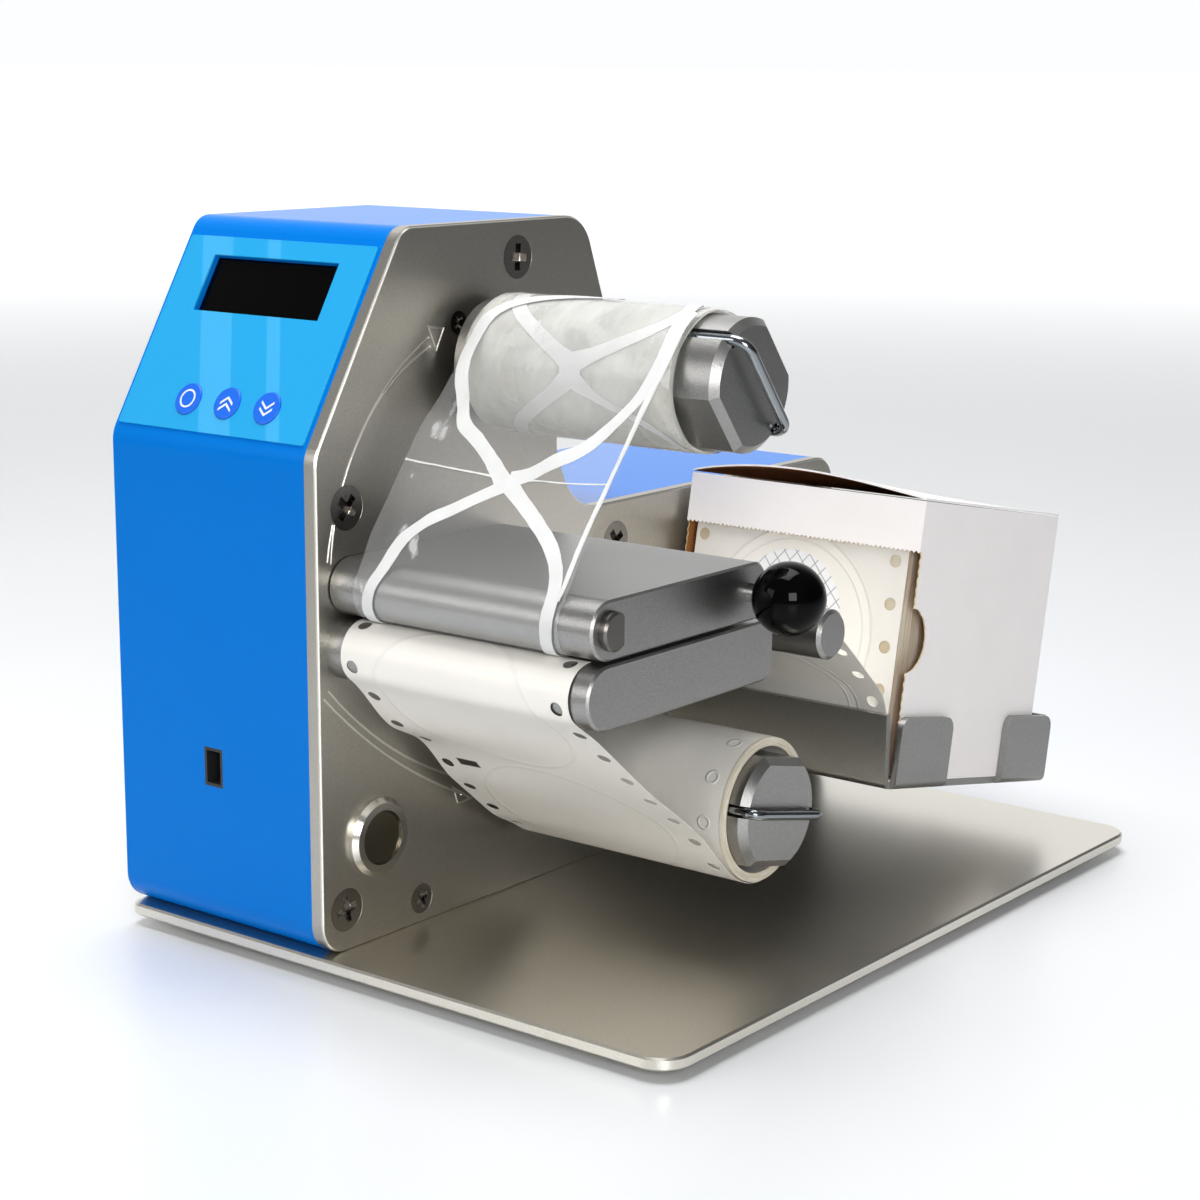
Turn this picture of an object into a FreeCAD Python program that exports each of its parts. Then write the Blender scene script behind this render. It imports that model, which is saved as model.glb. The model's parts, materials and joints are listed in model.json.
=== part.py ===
import FreeCAD, Part
import math
import os
from FreeCAD import Vector

# Desktop label de-laminating rewinder with a tray for a carton of fan-fold labels.
#
# Machine frame, in millimetres: X = 0 is the outer face of the side plate and +X runs along the
# spindles to their free ends, Y = 0 is the front edge of the base and +Y runs back, Z = 0 is the
# top of the base plate. The files are written with the origin at the bottom centre of the whole.

# ---- base and housing --------------------------------------------------------------------------
BASE_LENGTH = 193.0          # along X
BASE_DEPTH = 247.0           # along Y
BASE_THICKNESS = 3.5
BASE_CORNER = 9.0            # radius of the base's corners under the spindles
BASE_FAR_CORNER = 4.0        # radius of the base's corners under the housing
EDGE_BREAK = 0.6             # chamfer on the machined plates
FOOT_HEIGHT = 3.0
FOOT_RADIUS = 8.0
FOOT_INSET = 17.0
HOUSING_WIDTH = 77.5         # side plate to far face
PLATE_THICKNESS = 4.0        # both side plates
COVER_THICKNESS = 1.5        # wrap-around sheet cover
HEAD_HEIGHT = 194.0          # top of the head
KNEE_HEIGHT = 136.2          # where the front face turns back
HEAD_FRONT = 34.3            # top front corner, from the front
HEAD_REAR = 111.9            # top rear corner, from the front
HEAD_REAR_LEAN = 20.6        # degrees, back slope of the head
REAR_HEIGHT = 108.4          # top of the low rear part
NECK_RISE = 25.6             # neck above the rear part's top
NECK_DEPTH = 96.0            # neck, from the front
NECK_LEAN = 26.0             # degrees, slope from the neck down to the rear part
CHIN_RISE = 46.6             # lowest point of the head's back slope, above the rear part's top
FOOT_CORNER = 9.0            # radius of the housing's bottom corners
KNEE_RADIUS = 9.0
HEAD_FRONT_RADIUS = 7.0
HEAD_REAR_RADIUS = 12.0
CHIN_RADIUS = 8.0
NECK_RADIUS = 14.0
SADDLE_RADIUS = 17.0
REAR_RADIUS = 9.0

# ---- fasteners: shank radius, countersunk head radius ------------------------------------------
M6 = (3.0, 6.05)
M4 = (2.0, 4.3)
M3 = (1.5, 3.3)
M5_SHANK = 2.5
M5_HEAD = 4.25
M5_HEAD_HEIGHT = 5.0
SCREW_GAP = 0.1              # round a shank or head in a clearance hole
THREAD_GAP = 0.02            # round a shank in its threaded hole
RECESS_WIDTH = 0.19          # cross recess, as a share of the head's diameter
RECESS_SPAN = 0.62
RECESS_DEPTH = 0.2
TIE_BAR_RADIUS = 5.5
TIE_SCREW_LENGTH = 16.0
BRACKET_SIZE = 14.0          # square bars that carry the housing on the base
BRACKET_PLACES = (39.6, BASE_DEPTH - 39.6)
BRACKET_SCREW_LENGTH = 14.0

# ---- slanted control panel ---------------------------------------------------------------------
MEMBRANE_THICKNESS = 0.5
MEMBRANE_SIDE_MARGIN = 1.2
MEMBRANE_TOP_MARGIN = 6.4
MEMBRANE_BOTTOM_MARGIN = 3.0
MEMBRANE_CORNER = 0.8
WINDOW_WIDTH = 47.6
WINDOW_HEIGHT = 17.1
WINDOW_FROM_TOP = 12.0       # window's upper edge to the panel's upper corner
WINDOW_CENTRE_X = -40.6
KEY_RADIUS = 4.65
KEY_SPACING = 15.0
KEY_RISE = 12.0              # key centres up the slope from the knee
KEY_PROUD = 0.4
KEY_GAP = 0.08
KEY_TRAVEL = 0.4
KEY_CENTRE_X = -37.7
CIRCUIT_BOARD = 1.6
BOARD_DEPTH = 6.0            # panel boards, below the cover's outer face
PANEL_PEG_RADIUS = 1.5

# ---- push button on the side plate -------------------------------------------------------------
BUTTON_PLACE = (21.4, 29.7)
BEZEL_RADIUS = 11.0
BEZEL_HEIGHT = 2.6
BEZEL_BEVEL = 1.3
BARREL_RADIUS = 9.5
BARREL_LENGTH = 24.0
PLUNGER_RADIUS = 7.5
PLUNGER_GAP = 0.08
PLUNGER_PROUD = 0.6          # below the bezel's rim
PLUNGER_LENGTH = 7.0
PLUNGER_TRAVEL = 1.5

# ---- spindles, clips, rolls and drives ---------------------------------------------------------
UPPER_AXIS = (67.6, 156.1)
LOWER_AXIS = (87.1, 37.6)
UPPER_FLAT_ANGLE = -52.0     # direction of the flats, from +Y towards +Z
LOWER_FLAT_ANGLE = -13.0
SPINDLE_START = 4.0
UPPER_SPINDLE_END = 90.5
LOWER_SPINDLE_END = 88.3
SPINDLE_RADIUS = 17.5
SPINDLE_FLATS = 30.0
SPINDLE_CHAMFER = 2.0
CLIP_WIRE = 1.45             # radius of the wire
CLIP_GAP = 0.15
UPPER_CLIP_BEND = 4.2
LOWER_CLIP_BEND = 2.8
UPPER_STAND_OFF = 4.0        # bridge of the clip beyond the spindle's end
LOWER_STAND_OFF = 2.8
CLIP_LEG_START = 8.0
ROLL_GAP = 0.1
FILM_ROLL_WALL = 1.5
LINER_ROLL_WALL = 2.7
FILM_ROLL_RADIUS = SPINDLE_RADIUS + FILM_ROLL_WALL
LINER_ROLL_RADIUS = SPINDLE_RADIUS + LINER_ROLL_WALL
SHAFT_RADIUS = 4.0
SHAFT_GAP = 0.05             # running fit
SHAFT_IN_SPINDLE = 40.0
SHAFT_IN_MOTOR = 20.0
BUSHING_RADIUS = 6.0
BUSHING_FLANGE = 8.0
BUSHING_FLANGE_THICKNESS = 1.2
SET_SCREW_RADIUS = 2.0
SET_SCREW_PLACE = 3.0        # from the spindle's inner end
GEARBOX_RADIUS = 18.5
GEARBOX_LENGTH = 25.0
MOTOR_RADIUS = 17.0
MOTOR_LENGTH = 30.0
MOTOR_CIRCLE = 31.0          # screw circle diameter
MOTOR_SCREW_LENGTH = 10.0

# ---- guide plates, pivot, knob and rod ---------------------------------------------------------
GUIDE_END = 87.5
GUIDE_GAP = 0.95             # slit between the two plates
SLIT_BOTTOM = 92.6
UPPER_GUIDE_THICKNESS = 15.4
LOWER_GUIDE_THICKNESS = 16.6
UPPER_GUIDE_FRONT = 4.4
UPPER_GUIDE_REAR = 79.0
LOWER_GUIDE_FRONT = 3.0
LOWER_GUIDE_REAR = 83.0
GUIDE_REAR_RADIUS = 5.0
GUIDE_SIDE_GAP = 0.4         # upper plate clear of the side plate
PIVOT_RADIUS = 5.0
PIVOT_GAP = 0.05
PIVOT_STAND_OUT = 2.2        # beyond the upper plate's end
PIVOT_FLAT = 2.4
PIVOT_FLAT_LENGTH = 3.0
KNOB_PLACE = 71.4            # knob's Y, on the upper plate's end face
KNOB_RADIUS = 9.8
KNOB_STEM_RADIUS = 2.5
KNOB_STAND_OFF = 3.5
KNOB_FLAT = 8.9              # sphere centre to the knob's flat
STEM_IN_PLATE = 10.0
ROD_AXIS = (110.0, 83.3)
ROD_RADIUS = 7.0
ROD_END = 89.0
ROD_CHAMFER = 1.0

# ---- labels: webs, tray, carton and stack ------------------------------------------------------
WEB_START = 5.5
WEB_WIDTH = 76.0
FILM_START = 9.5
FILM_WIDTH = 68.0
WEB_CLEARANCE = 0.35         # web to a piece that moves
WEB_THICKNESS = 0.5
PLY_THICKNESS = 0.2          # film alone, or liner alone
LINER_LIFT = 0.1
WEB_DROP = -42.0             # degrees, slope of the label web behind the rod
TRAY_CORNER = (144.9, 30.7)  # front bottom edge of the tray
TRAY_TILT = 11.0             # degrees, floor slopes down to the rear
TRAY_DEPTH = 95.5
TRAY_END = 88.0
TRAY_SHEET = 2.0
TRAY_WALL = 21.3
TRAY_BEND = 2.25             # outer radius of the sheet's bends
TRAY_SLOT = (32.2, 67.0)     # gap between the two end tabs, along the floor
TAB_CORNER = 4.0
CARTON_START = 2.3
CARTON_WIDTH = 83.4
CARTON_DEPTH = 83.3
CARTON_HEIGHT = 82.4
CARTON_FRONT = 2.7           # along the floor, behind the tray's front edge
CARD = 0.6
CARTON_FLAP = 15.0           # strip left at the top of the torn front
NOTCH_RADIUS = 9.6
NOTCH_HEIGHT = 41.6
LID_BULGE = 4.0
LID_GAP = 0.35
REST_GAP = 0.1
STACK_FRONT = 1.6            # behind the carton's front face
STACK_HEIGHT = 76.0
STACK_DEPTH = 79.0

# ---- electrics ---------------------------------------------------------------------------------
SOCKET_CENTRE = (-40.7, 46.5)    # X and Z on the front face
SOCKET_WIDTH = 7.0
SOCKET_HEIGHT = 11.0
SOCKET_WALL = 0.9
SOCKET_DEPTH = 12.0
SOCKET_RECESS = 10.5
PIN_SIZE = 0.8
PIN_LENGTH = 4.0
PIN_SPACING = 4.4
INLET_CENTRE = (-40.0, 25.0)     # X and Z on the rear face
INLET_RADIUS = 6.0
INLET_DEPTH = 12.0
INLET_BORE = 3.1
INLET_BORE_DEPTH = 10.0
INLET_PIN = 1.0
CONTROL_BOARD = (140.0, 225.0, 22.0, 84.0)   # Y from, Y to, Z from, Z to
STANDOFF_LENGTH = 8.0
STANDOFF_RADIUS = 3.0
STANDOFF_INSET = 5.0

# ---- engraved direction arrows: centre Y, centre Z, radius, two end angles ----------------------
GROOVE_WIDTH = 0.7
GROOVE_DEPTH = 0.3
ARROW_ARCS = (
    (78.9, 96.5, 75.9, 117.0, 171.0),
    (67.5, 103.4, 62.4, 111.0, 176.0),
    (138.4, 208.6, 193.1, 225.0, 245.0),
    (106.2, 169.6, 140.3, 223.0, 247.5),
)
ARROW_HEADS = (
    ((43.6, 167.4), (50.8, 166.2), (47.4, 159.8)),
    ((54.9, 30.6), (61.6, 31.2), (52.6, 36.8)),
)

# ---- derived values ----------------------------------------------------------------------------
X_AXIS = Vector(1, 0, 0)
Y_AXIS = Vector(0, 1, 0)
Z_AXIS = Vector(0, 0, 1)
FAR_FACE = -HOUSING_WIDTH
FAR_INNER = FAR_FACE + PLATE_THICKNESS
NEAR_INNER = -PLATE_THICKNESS
ORIGIN = Vector(FAR_FACE + BASE_LENGTH / 2, BASE_DEPTH / 2, -BASE_THICKNESS - FOOT_HEIGHT)
SLIT_TOP = SLIT_BOTTOM + GUIDE_GAP
UPPER_NOSE = UPPER_GUIDE_THICKNESS / 2
LOWER_NOSE = LOWER_GUIDE_THICKNESS / 2
PIVOT = (UPPER_GUIDE_FRONT + UPPER_NOSE, SLIT_TOP + UPPER_NOSE)
LOWER_CENTRE = (LOWER_GUIDE_FRONT + LOWER_NOSE, SLIT_BOTTOM - LOWER_NOSE)
SLOPE_LENGTH = math.hypot(HEAD_FRONT, HEAD_HEIGHT - KNEE_HEIGHT)
SLOPE_ANGLE = math.degrees(math.atan2(HEAD_HEIGHT - KNEE_HEIGHT, HEAD_FRONT))
KEY_BOTTOM = -2.4
TINY = 1e-6


# ---- general shapes ----------------------------------------------------------------------------
def yz(y, z, x=0.0):
    """A point from its Y and Z."""
    return Vector(x, y, z)


def turned(length, degrees):
    """A step in the Y-Z plane, at an angle from +Y towards +Z."""
    angle = math.radians(degrees)
    return Vector(0, length * math.cos(angle), length * math.sin(angle))


def block(x_from, x_to, y_from, y_to, z_from, z_to):
    """A box between two corners."""
    corner = Vector(x_from, y_from, z_from)
    return Part.makeBox(x_to - x_from, y_to - y_from, z_to - z_from, corner)


def bar_x(place, radius, x_from, x_to):
    """A round bar along X through a (Y, Z) place."""
    return Part.makeCylinder(radius, x_to - x_from, yz(place[0], place[1], x_from), X_AXIS)


def corner_arc(before, corner, after, radius):
    """Start, middle and end of the arc that rounds a corner."""
    back = (before - corner).normalize()
    ahead = (after - corner).normalize()
    half = back.getAngle(ahead) / 2
    reach = radius / math.tan(half)
    inward = (back + ahead).normalize()
    middle = corner + inward * (radius / math.sin(half) - radius)
    return corner + back * reach, middle, corner + ahead * reach


def path_edges(corners, closed):
    """Straight runs joined by tangent arcs, through (point, radius) corners."""
    count = len(corners)
    stops = []
    for index, (point, radius) in enumerate(corners):
        is_end = not closed and index in (0, count - 1)
        if radius < TINY or is_end:
            stops.append((point, None, point))
        else:
            before = corners[index - 1][0]
            after = corners[(index + 1) % count][0]
            stops.append(corner_arc(before, point, after, radius))
    edges = []
    for index, (start, middle, end) in enumerate(stops):
        if middle is not None:
            edges.append(Part.Arc(start, middle, end).toShape())
        following = stops[(index + 1) % count][0]
        is_last = not closed and index == count - 1
        if not is_last and (following - end).Length > TINY:
            edges.append(Part.LineSegment(end, following).toShape())
    return edges


def shifted_corners(corners, distance, normal, closed):
    """The same path moved to its left, seen against the normal."""
    count = len(corners)
    moved = []
    for index, (point, radius) in enumerate(corners):
        lefts = []
        if closed or index > 0:
            lefts.append(normal.cross(point - corners[index - 1][0]).normalize())
        if closed or index < count - 1:
            lefts.append(normal.cross(corners[(index + 1) % count][0] - point).normalize())
        total = lefts[0] + lefts[-1]
        step = total * (distance / (1 + lefts[0].dot(lefts[-1])))
        turn = normal.dot(lefts[0].cross(lefts[-1]))
        new_radius = radius
        if radius > TINY:
            new_radius = max(radius - distance * math.copysign(1.0, turn), 0.2)
        moved.append((point + step, new_radius))
    return moved


def prism(corners, way):
    """A solid with a rounded outline, extruded along a vector."""
    return Part.Face(Part.Wire(path_edges(corners, True))).extrude(way)


def ribbon(corners, thickness, normal, way):
    """A sheet that follows an open rounded path, extruded along a vector."""
    left = shifted_corners(corners, thickness / 2, normal, False)
    right = shifted_corners(corners, -thickness / 2, normal, False)
    right.reverse()
    edges = path_edges(left, False)
    edges.append(Part.LineSegment(left[-1][0], right[0][0]).toShape())
    edges.extend(path_edges(right, False))
    edges.append(Part.LineSegment(right[-1][0], left[0][0]).toShape())
    return Part.Face(Part.Wire(edges)).extrude(way)


def edges_at(shape, axis, value):
    """The edges that lie in one plane across an axis."""
    found = []
    for edge in shape.Edges:
        box = edge.BoundBox
        low = Vector(box.XMin, box.YMin, box.ZMin).dot(axis)
        high = Vector(box.XMax, box.YMax, box.ZMax).dot(axis)
        if abs(low - value) < 1e-4 and abs(high - value) < 1e-4:
            found.append(edge)
    return found


def cut_all(shape, tools):
    """A shape with many tools cut away."""
    return shape.cut(Part.makeCompound(tools))


# ---- fasteners ---------------------------------------------------------------------------------
def countersunk(point, inward, size, length, gap=0.0):
    """A countersunk head with its shank, or the hole for one when a gap is given."""
    shank, head = size
    depth = head - shank
    cone = Part.makeCone(head + gap, shank + gap, depth, point, inward)
    pin = Part.makeCylinder(shank + gap, length, point, inward)
    return cone.fuse(pin).removeSplitter()


def countersunk_screw(point, inward, size, length, spin):
    """A countersunk screw with a cross recess turned by the spin, in degrees."""
    head = size[1]
    width = 2 * head * RECESS_WIDTH
    span = 2 * head * RECESS_SPAN
    depth = 2 * head * RECESS_DEPTH
    screw = countersunk(Vector(0, 0, 0), Vector(0, 0, -1), size, length)
    wide = Part.makeBox(span, width, depth, Vector(-span / 2, -width / 2, -depth))
    tall = Part.makeBox(width, span, depth, Vector(-width / 2, -span / 2, -depth))
    screw = screw.cut(wide.fuse(tall))
    screw.rotate(Vector(0, 0, 0), Z_AXIS, spin)
    screw.Placement = FreeCAD.Placement(point, FreeCAD.Rotation(Vector(0, 0, -1), inward)).multiply(
        screw.Placement)
    return screw


def cap_screw(place, head_x, length):
    """A socket cap screw that enters along +X, with its head's inner face at head_x."""
    head = bar_x(place, M5_HEAD, head_x - M5_HEAD_HEIGHT, head_x)
    shank = bar_x(place, M5_SHANK, head_x, head_x + length)
    socket_corners = []
    for step in range(6):
        point = yz(place[0], place[1], head_x - M5_HEAD_HEIGHT) + turned(M5_SHANK * 0.9, 60 * step)
        socket_corners.append((point, 0.0))
    socket = prism(socket_corners, X_AXIS * (M5_HEAD_HEIGHT / 2))
    return head.fuse(shank).cut(socket)


# ---- housing outline ---------------------------------------------------------------------------
def lean_point(y, z, lean, new_z):
    """The point at another height on a line that leans back from vertical."""
    return y + (z - new_z) * math.tan(math.radians(lean)), new_z


def housing_corners(x):
    """The side outline of the housing, anticlockwise from the front bottom corner."""
    chin_y, chin_z = lean_point(HEAD_REAR, HEAD_HEIGHT, HEAD_REAR_LEAN, REAR_HEIGHT + CHIN_RISE)
    neck_z = REAR_HEIGHT + NECK_RISE
    saddle_y, saddle_z = lean_point(NECK_DEPTH, neck_z, NECK_LEAN, REAR_HEIGHT)
    places = [
        (0.0, 0.0, FOOT_CORNER),
        (BASE_DEPTH, 0.0, FOOT_CORNER),
        (BASE_DEPTH, REAR_HEIGHT, REAR_RADIUS),
        (saddle_y, saddle_z, SADDLE_RADIUS),
        (NECK_DEPTH, neck_z, NECK_RADIUS),
        (chin_y, chin_z, CHIN_RADIUS),
        (HEAD_REAR, HEAD_HEIGHT, HEAD_REAR_RADIUS),
        (HEAD_FRONT, HEAD_HEIGHT, HEAD_FRONT_RADIUS),
        (0.0, KNEE_HEIGHT, KNEE_RADIUS),
    ]
    return [(yz(y, z, x), radius) for y, z, radius in places]


def housing_prism(x_from, x_to, inset=0.0):
    """The housing's outline as a solid, drawn in by the inset."""
    corners = housing_corners(x_from)
    if inset > 0:
        corners = shifted_corners(corners, inset, X_AXIS, True)
    return prism(corners, X_AXIS * (x_to - x_from))


def tie_places():
    """Where the tie bars and their M6 screws sit, as (Y, Z)."""
    low = 11.7
    return [
        (9.3, low),
        (11.6, KNEE_HEIGHT - 14.3),
        (HEAD_REAR - 30.1, HEAD_HEIGHT - 10.5),
        (127.6, REAR_HEIGHT - 12.1),
        (BASE_DEPTH - low, REAR_HEIGHT - 12.1),
        (BASE_DEPTH - low, low),
    ]


def motor_screw_places(axis):
    """Four screws on the motor's circle."""
    places = []
    for step in range(4):
        offset = turned(MOTOR_CIRCLE / 2, 45 + 90 * step)
        places.append((axis[0] + offset.y, axis[1] + offset.z))
    return places


# ---- base --------------------------------------------------------------------------------------
def base_screw_places():
    """Two screws into each bracket, as (X, Y)."""
    places = []
    for y in BRACKET_PLACES:
        for x in (FAR_INNER + 12.0, NEAR_INNER - 12.0):
            places.append((x, y))
    return places


def make_base_plate():
    x_from = FAR_FACE
    x_to = FAR_FACE + BASE_LENGTH
    z = -BASE_THICKNESS
    corners = [
        (Vector(x_from, 0, z), BASE_FAR_CORNER),
        (Vector(x_to, 0, z), BASE_CORNER),
        (Vector(x_to, BASE_DEPTH, z), BASE_CORNER),
        (Vector(x_from, BASE_DEPTH, z), BASE_FAR_CORNER),
    ]
    plate = prism(corners, Z_AXIS * BASE_THICKNESS)
    rims = edges_at(plate, Z_AXIS, 0.0) + edges_at(plate, Z_AXIS, z)
    plate = plate.makeChamfer(EDGE_BREAK, rims)
    holes = []
    for x, y in base_screw_places():
        holes.append(countersunk(Vector(x, y, z), Z_AXIS, M4, BRACKET_SCREW_LENGTH, SCREW_GAP))
    return cut_all(plate, holes)


def make_rubber_feet():
    feet = []
    for x in (FAR_FACE + FOOT_INSET, FAR_FACE + BASE_LENGTH - FOOT_INSET):
        for y in (FOOT_INSET, BASE_DEPTH - FOOT_INSET):
            foot = Part.makeCone(FOOT_RADIUS - 1.0, FOOT_RADIUS, FOOT_HEIGHT,
                                 Vector(x, y, ORIGIN.z), Z_AXIS)
            feet.append(foot)
    return Part.makeCompound(feet)


def make_base_brackets():
    bars = []
    for y in BRACKET_PLACES:
        half = BRACKET_SIZE / 2
        bar = block(FAR_INNER, NEAR_INNER, y - half, y + half, 0, BRACKET_SIZE)
        radius = M4[0] + THREAD_GAP
        holes = []
        for x, screw_y in base_screw_places():
            if screw_y == y:
                holes.append(Part.makeCylinder(radius, BRACKET_SIZE, Vector(x, y, 0), Z_AXIS))
        holes.append(bar_x((y, half), radius, NEAR_INNER - BRACKET_SCREW_LENGTH, NEAR_INNER))
        holes.append(bar_x((y, half), radius, FAR_INNER, FAR_INNER + BRACKET_SCREW_LENGTH))
        bars.append(cut_all(bar, holes))
    return Part.makeCompound(bars)


def make_base_screws():
    screws = []
    for index, (x, y) in enumerate(base_screw_places()):
        point = Vector(x, y, -BASE_THICKNESS)
        screws.append(countersunk_screw(point, Z_AXIS, M4, BRACKET_SCREW_LENGTH, 25 * index))
    return Part.makeCompound(screws)


def make_bracket_screws():
    screws = []
    for index, y in enumerate(BRACKET_PLACES):
        near = yz(y, BRACKET_SIZE / 2, 0.0)
        far = yz(y, BRACKET_SIZE / 2, FAR_FACE)
        length = BRACKET_SCREW_LENGTH
        screws.append(countersunk_screw(near, -X_AXIS, M4, length, 20 + 31 * index))
        screws.append(countersunk_screw(far, X_AXIS, M4, length, 47 * index))
    return Part.makeCompound(screws)


# ---- side plates and cover ---------------------------------------------------------------------
def plate_holes(face_x, inward):
    """The countersunk holes that both side plates share."""
    holes = []
    for y, z in tie_places():
        holes.append(countersunk(yz(y, z, face_x), inward, M6, TIE_SCREW_LENGTH, SCREW_GAP))
    for y in BRACKET_PLACES:
        point = yz(y, BRACKET_SIZE / 2, face_x)
        holes.append(countersunk(point, inward, M4, BRACKET_SCREW_LENGTH, SCREW_GAP))
    return holes


def arrow_grooves():
    """The engraved arrows that show which way each spindle turns."""
    grooves = []
    half = GROOVE_WIDTH / 2
    for y, z, radius, start, end in ARROW_ARCS:
        ring = bar_x((y, z), radius + half, -GROOVE_DEPTH, 1.0)
        ring = ring.cut(bar_x((y, z), radius - half, -GROOVE_DEPTH, 1.0))
        centre = yz(y, z, -GROOVE_DEPTH)
        reach = 2 * radius
        wedge = prism([
            (centre, 0.0),
            (centre + turned(reach, start), 0.0),
            (centre + turned(reach, end), 0.0),
        ], X_AXIS)
        grooves.append(ring.common(wedge))
    for points in ARROW_HEADS:
        outer = [(yz(y, z, -GROOVE_DEPTH), 0.0) for y, z in points]
        if X_AXIS.dot((outer[1][0] - outer[0][0]).cross(outer[2][0] - outer[1][0])) < 0:
            outer.reverse()
        inner = shifted_corners(outer, GROOVE_WIDTH, X_AXIS, True)
        grooves.append(prism(outer, X_AXIS).cut(prism(inner, X_AXIS)))
    return grooves


def guide_screw_places():
    """Screws from inside the housing into the guide parts, as (Y, Z)."""
    inset = 20.0
    mid = LOWER_CENTRE[1]
    return [
        (LOWER_GUIDE_FRONT + inset, mid),
        (LOWER_GUIDE_REAR - inset, mid),
        PIVOT,
        ROD_AXIS,
    ]


def tray_point(along, up, x=0.0):
    """A point from its place along the tray's sloping floor and its height above it."""
    corner = yz(TRAY_CORNER[0], TRAY_CORNER[1], x)
    return corner + turned(along, -TRAY_TILT) + turned(up, 90 - TRAY_TILT)


def tray_screw_points():
    """Three screws through the tray's flange."""
    return [tray_point(along, TRAY_WALL - 9.0, TRAY_SHEET) for along in (14.0, 48.0, 82.0)]


def make_side_plate():
    plate = housing_prism(NEAR_INNER, 0.0)
    plate = plate.makeChamfer(EDGE_BREAK, edges_at(plate, X_AXIS, 0.0))
    tools = plate_holes(0.0, -X_AXIS)
    through = (NEAR_INNER, 0.0)
    for axis in (UPPER_AXIS, LOWER_AXIS):
        tools.append(bar_x(axis, BUSHING_RADIUS, *through))
        for y, z in motor_screw_places(axis):
            point = yz(y, z, 0.0)
            tools.append(countersunk(point, -X_AXIS, M3, MOTOR_SCREW_LENGTH, SCREW_GAP))
    tools.append(bar_x(BUTTON_PLACE, BARREL_RADIUS + SCREW_GAP, *through))
    for place in guide_screw_places():
        tools.append(bar_x(place, M5_SHANK + SCREW_GAP, *through))
    for point in tray_screw_points():
        tools.append(bar_x((point.y, point.z), M3[0] + THREAD_GAP, *through))
    tools.extend(arrow_grooves())
    return cut_all(plate, tools)


def make_far_side_plate():
    plate = housing_prism(FAR_FACE, FAR_INNER, COVER_THICKNESS)
    tools = plate_holes(FAR_FACE, X_AXIS)
    for y, z in standoff_places():
        tools.append(bar_x((y, z), M3[0] + THREAD_GAP, FAR_FACE + 1.0, FAR_INNER))
    return cut_all(plate, tools)


def slope_shape(shape):
    """Moves a shape from slope axes, X along, Y up the slope, Z outwards, onto the slope."""
    placed = shape.copy()
    placed.rotate(Vector(0, 0, 0), X_AXIS, SLOPE_ANGLE)
    placed.translate(yz(0.0, KNEE_HEIGHT))
    return placed


def key_places():
    """Key centres as (X, distance up the slope)."""
    return [(KEY_CENTRE_X + step * KEY_SPACING, KEY_RISE) for step in (-1, 0, 1)]


def window_block(margin, low, high):
    """The display window grown by a margin, between two heights off the slope."""
    top = SLOPE_LENGTH - WINDOW_FROM_TOP
    half = WINDOW_WIDTH / 2
    return block(WINDOW_CENTRE_X - half - margin, WINDOW_CENTRE_X + half + margin,
                 top - WINDOW_HEIGHT - margin, top + margin, low, high)


def key_cylinder(place, radius, low, high):
    """A round piece on the slope, between two heights off it."""
    return Part.makeCylinder(radius, high - low, Vector(place[0], place[1], low), Z_AXIS)


def make_wrap_cover():
    cover = housing_prism(FAR_FACE, NEAR_INNER)
    inside = housing_prism(FAR_FACE - 1.0, NEAR_INNER + 1.0, COVER_THICKNESS)
    margin = FOOT_CORNER + 3.0
    floor = block(FAR_FACE - 1.0, NEAR_INNER + 1.0, margin, BASE_DEPTH - margin, -1.0,
                  COVER_THICKNESS + 1.0)
    panel_cuts = [window_block(0.0, -5.0, 5.0)]
    for place in key_places():
        panel_cuts.append(key_cylinder(place, KEY_RADIUS + KEY_GAP, -5.0, 5.0))
    tools = [inside, floor]
    tools.extend(slope_shape(tool) for tool in panel_cuts)
    tools.append(socket_block(0.0, -1.0, COVER_THICKNESS + 1.0))
    tools.append(inlet_bar(INLET_RADIUS, COVER_THICKNESS + 1.0))
    return cut_all(cover, tools)


def make_tie_bars():
    bars = []
    for place in tie_places():
        bar = bar_x(place, TIE_BAR_RADIUS, FAR_INNER, NEAR_INNER)
        depth = TIE_SCREW_LENGTH
        radius = M6[0] + THREAD_GAP
        near = bar_x(place, radius, NEAR_INNER - depth, NEAR_INNER)
        far = bar_x(place, radius, FAR_INNER, FAR_INNER + depth)
        bars.append(cut_all(bar, [near, far]))
    return Part.makeCompound(bars)


def make_plate_screws(face_x, inward):
    screws = []
    for index, (y, z) in enumerate(tie_places()):
        spin = 12 + 37 * index
        screws.append(countersunk_screw(yz(y, z, face_x), inward, M6, TIE_SCREW_LENGTH, spin))
    return Part.makeCompound(screws)


# ---- control panel -----------------------------------------------------------------------------
def make_membrane_panel():
    x_from = FAR_FACE + MEMBRANE_SIDE_MARGIN
    x_to = NEAR_INNER - MEMBRANE_SIDE_MARGIN
    low = MEMBRANE_BOTTOM_MARGIN
    high = SLOPE_LENGTH - MEMBRANE_TOP_MARGIN
    corners = [
        (Vector(x_from, low, 0), MEMBRANE_CORNER),
        (Vector(x_to, low, 0), MEMBRANE_CORNER),
        (Vector(x_to, high, 0), MEMBRANE_CORNER),
        (Vector(x_from, high, 0), MEMBRANE_CORNER),
    ]
    sheet = prism(corners, Z_AXIS * MEMBRANE_THICKNESS)
    tools = [window_block(0.0, -1.0, 1.0)]
    for place in key_places():
        tools.append(key_cylinder(place, KEY_RADIUS + KEY_GAP, -1.0, 1.0))
    return slope_shape(cut_all(sheet, tools))


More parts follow.
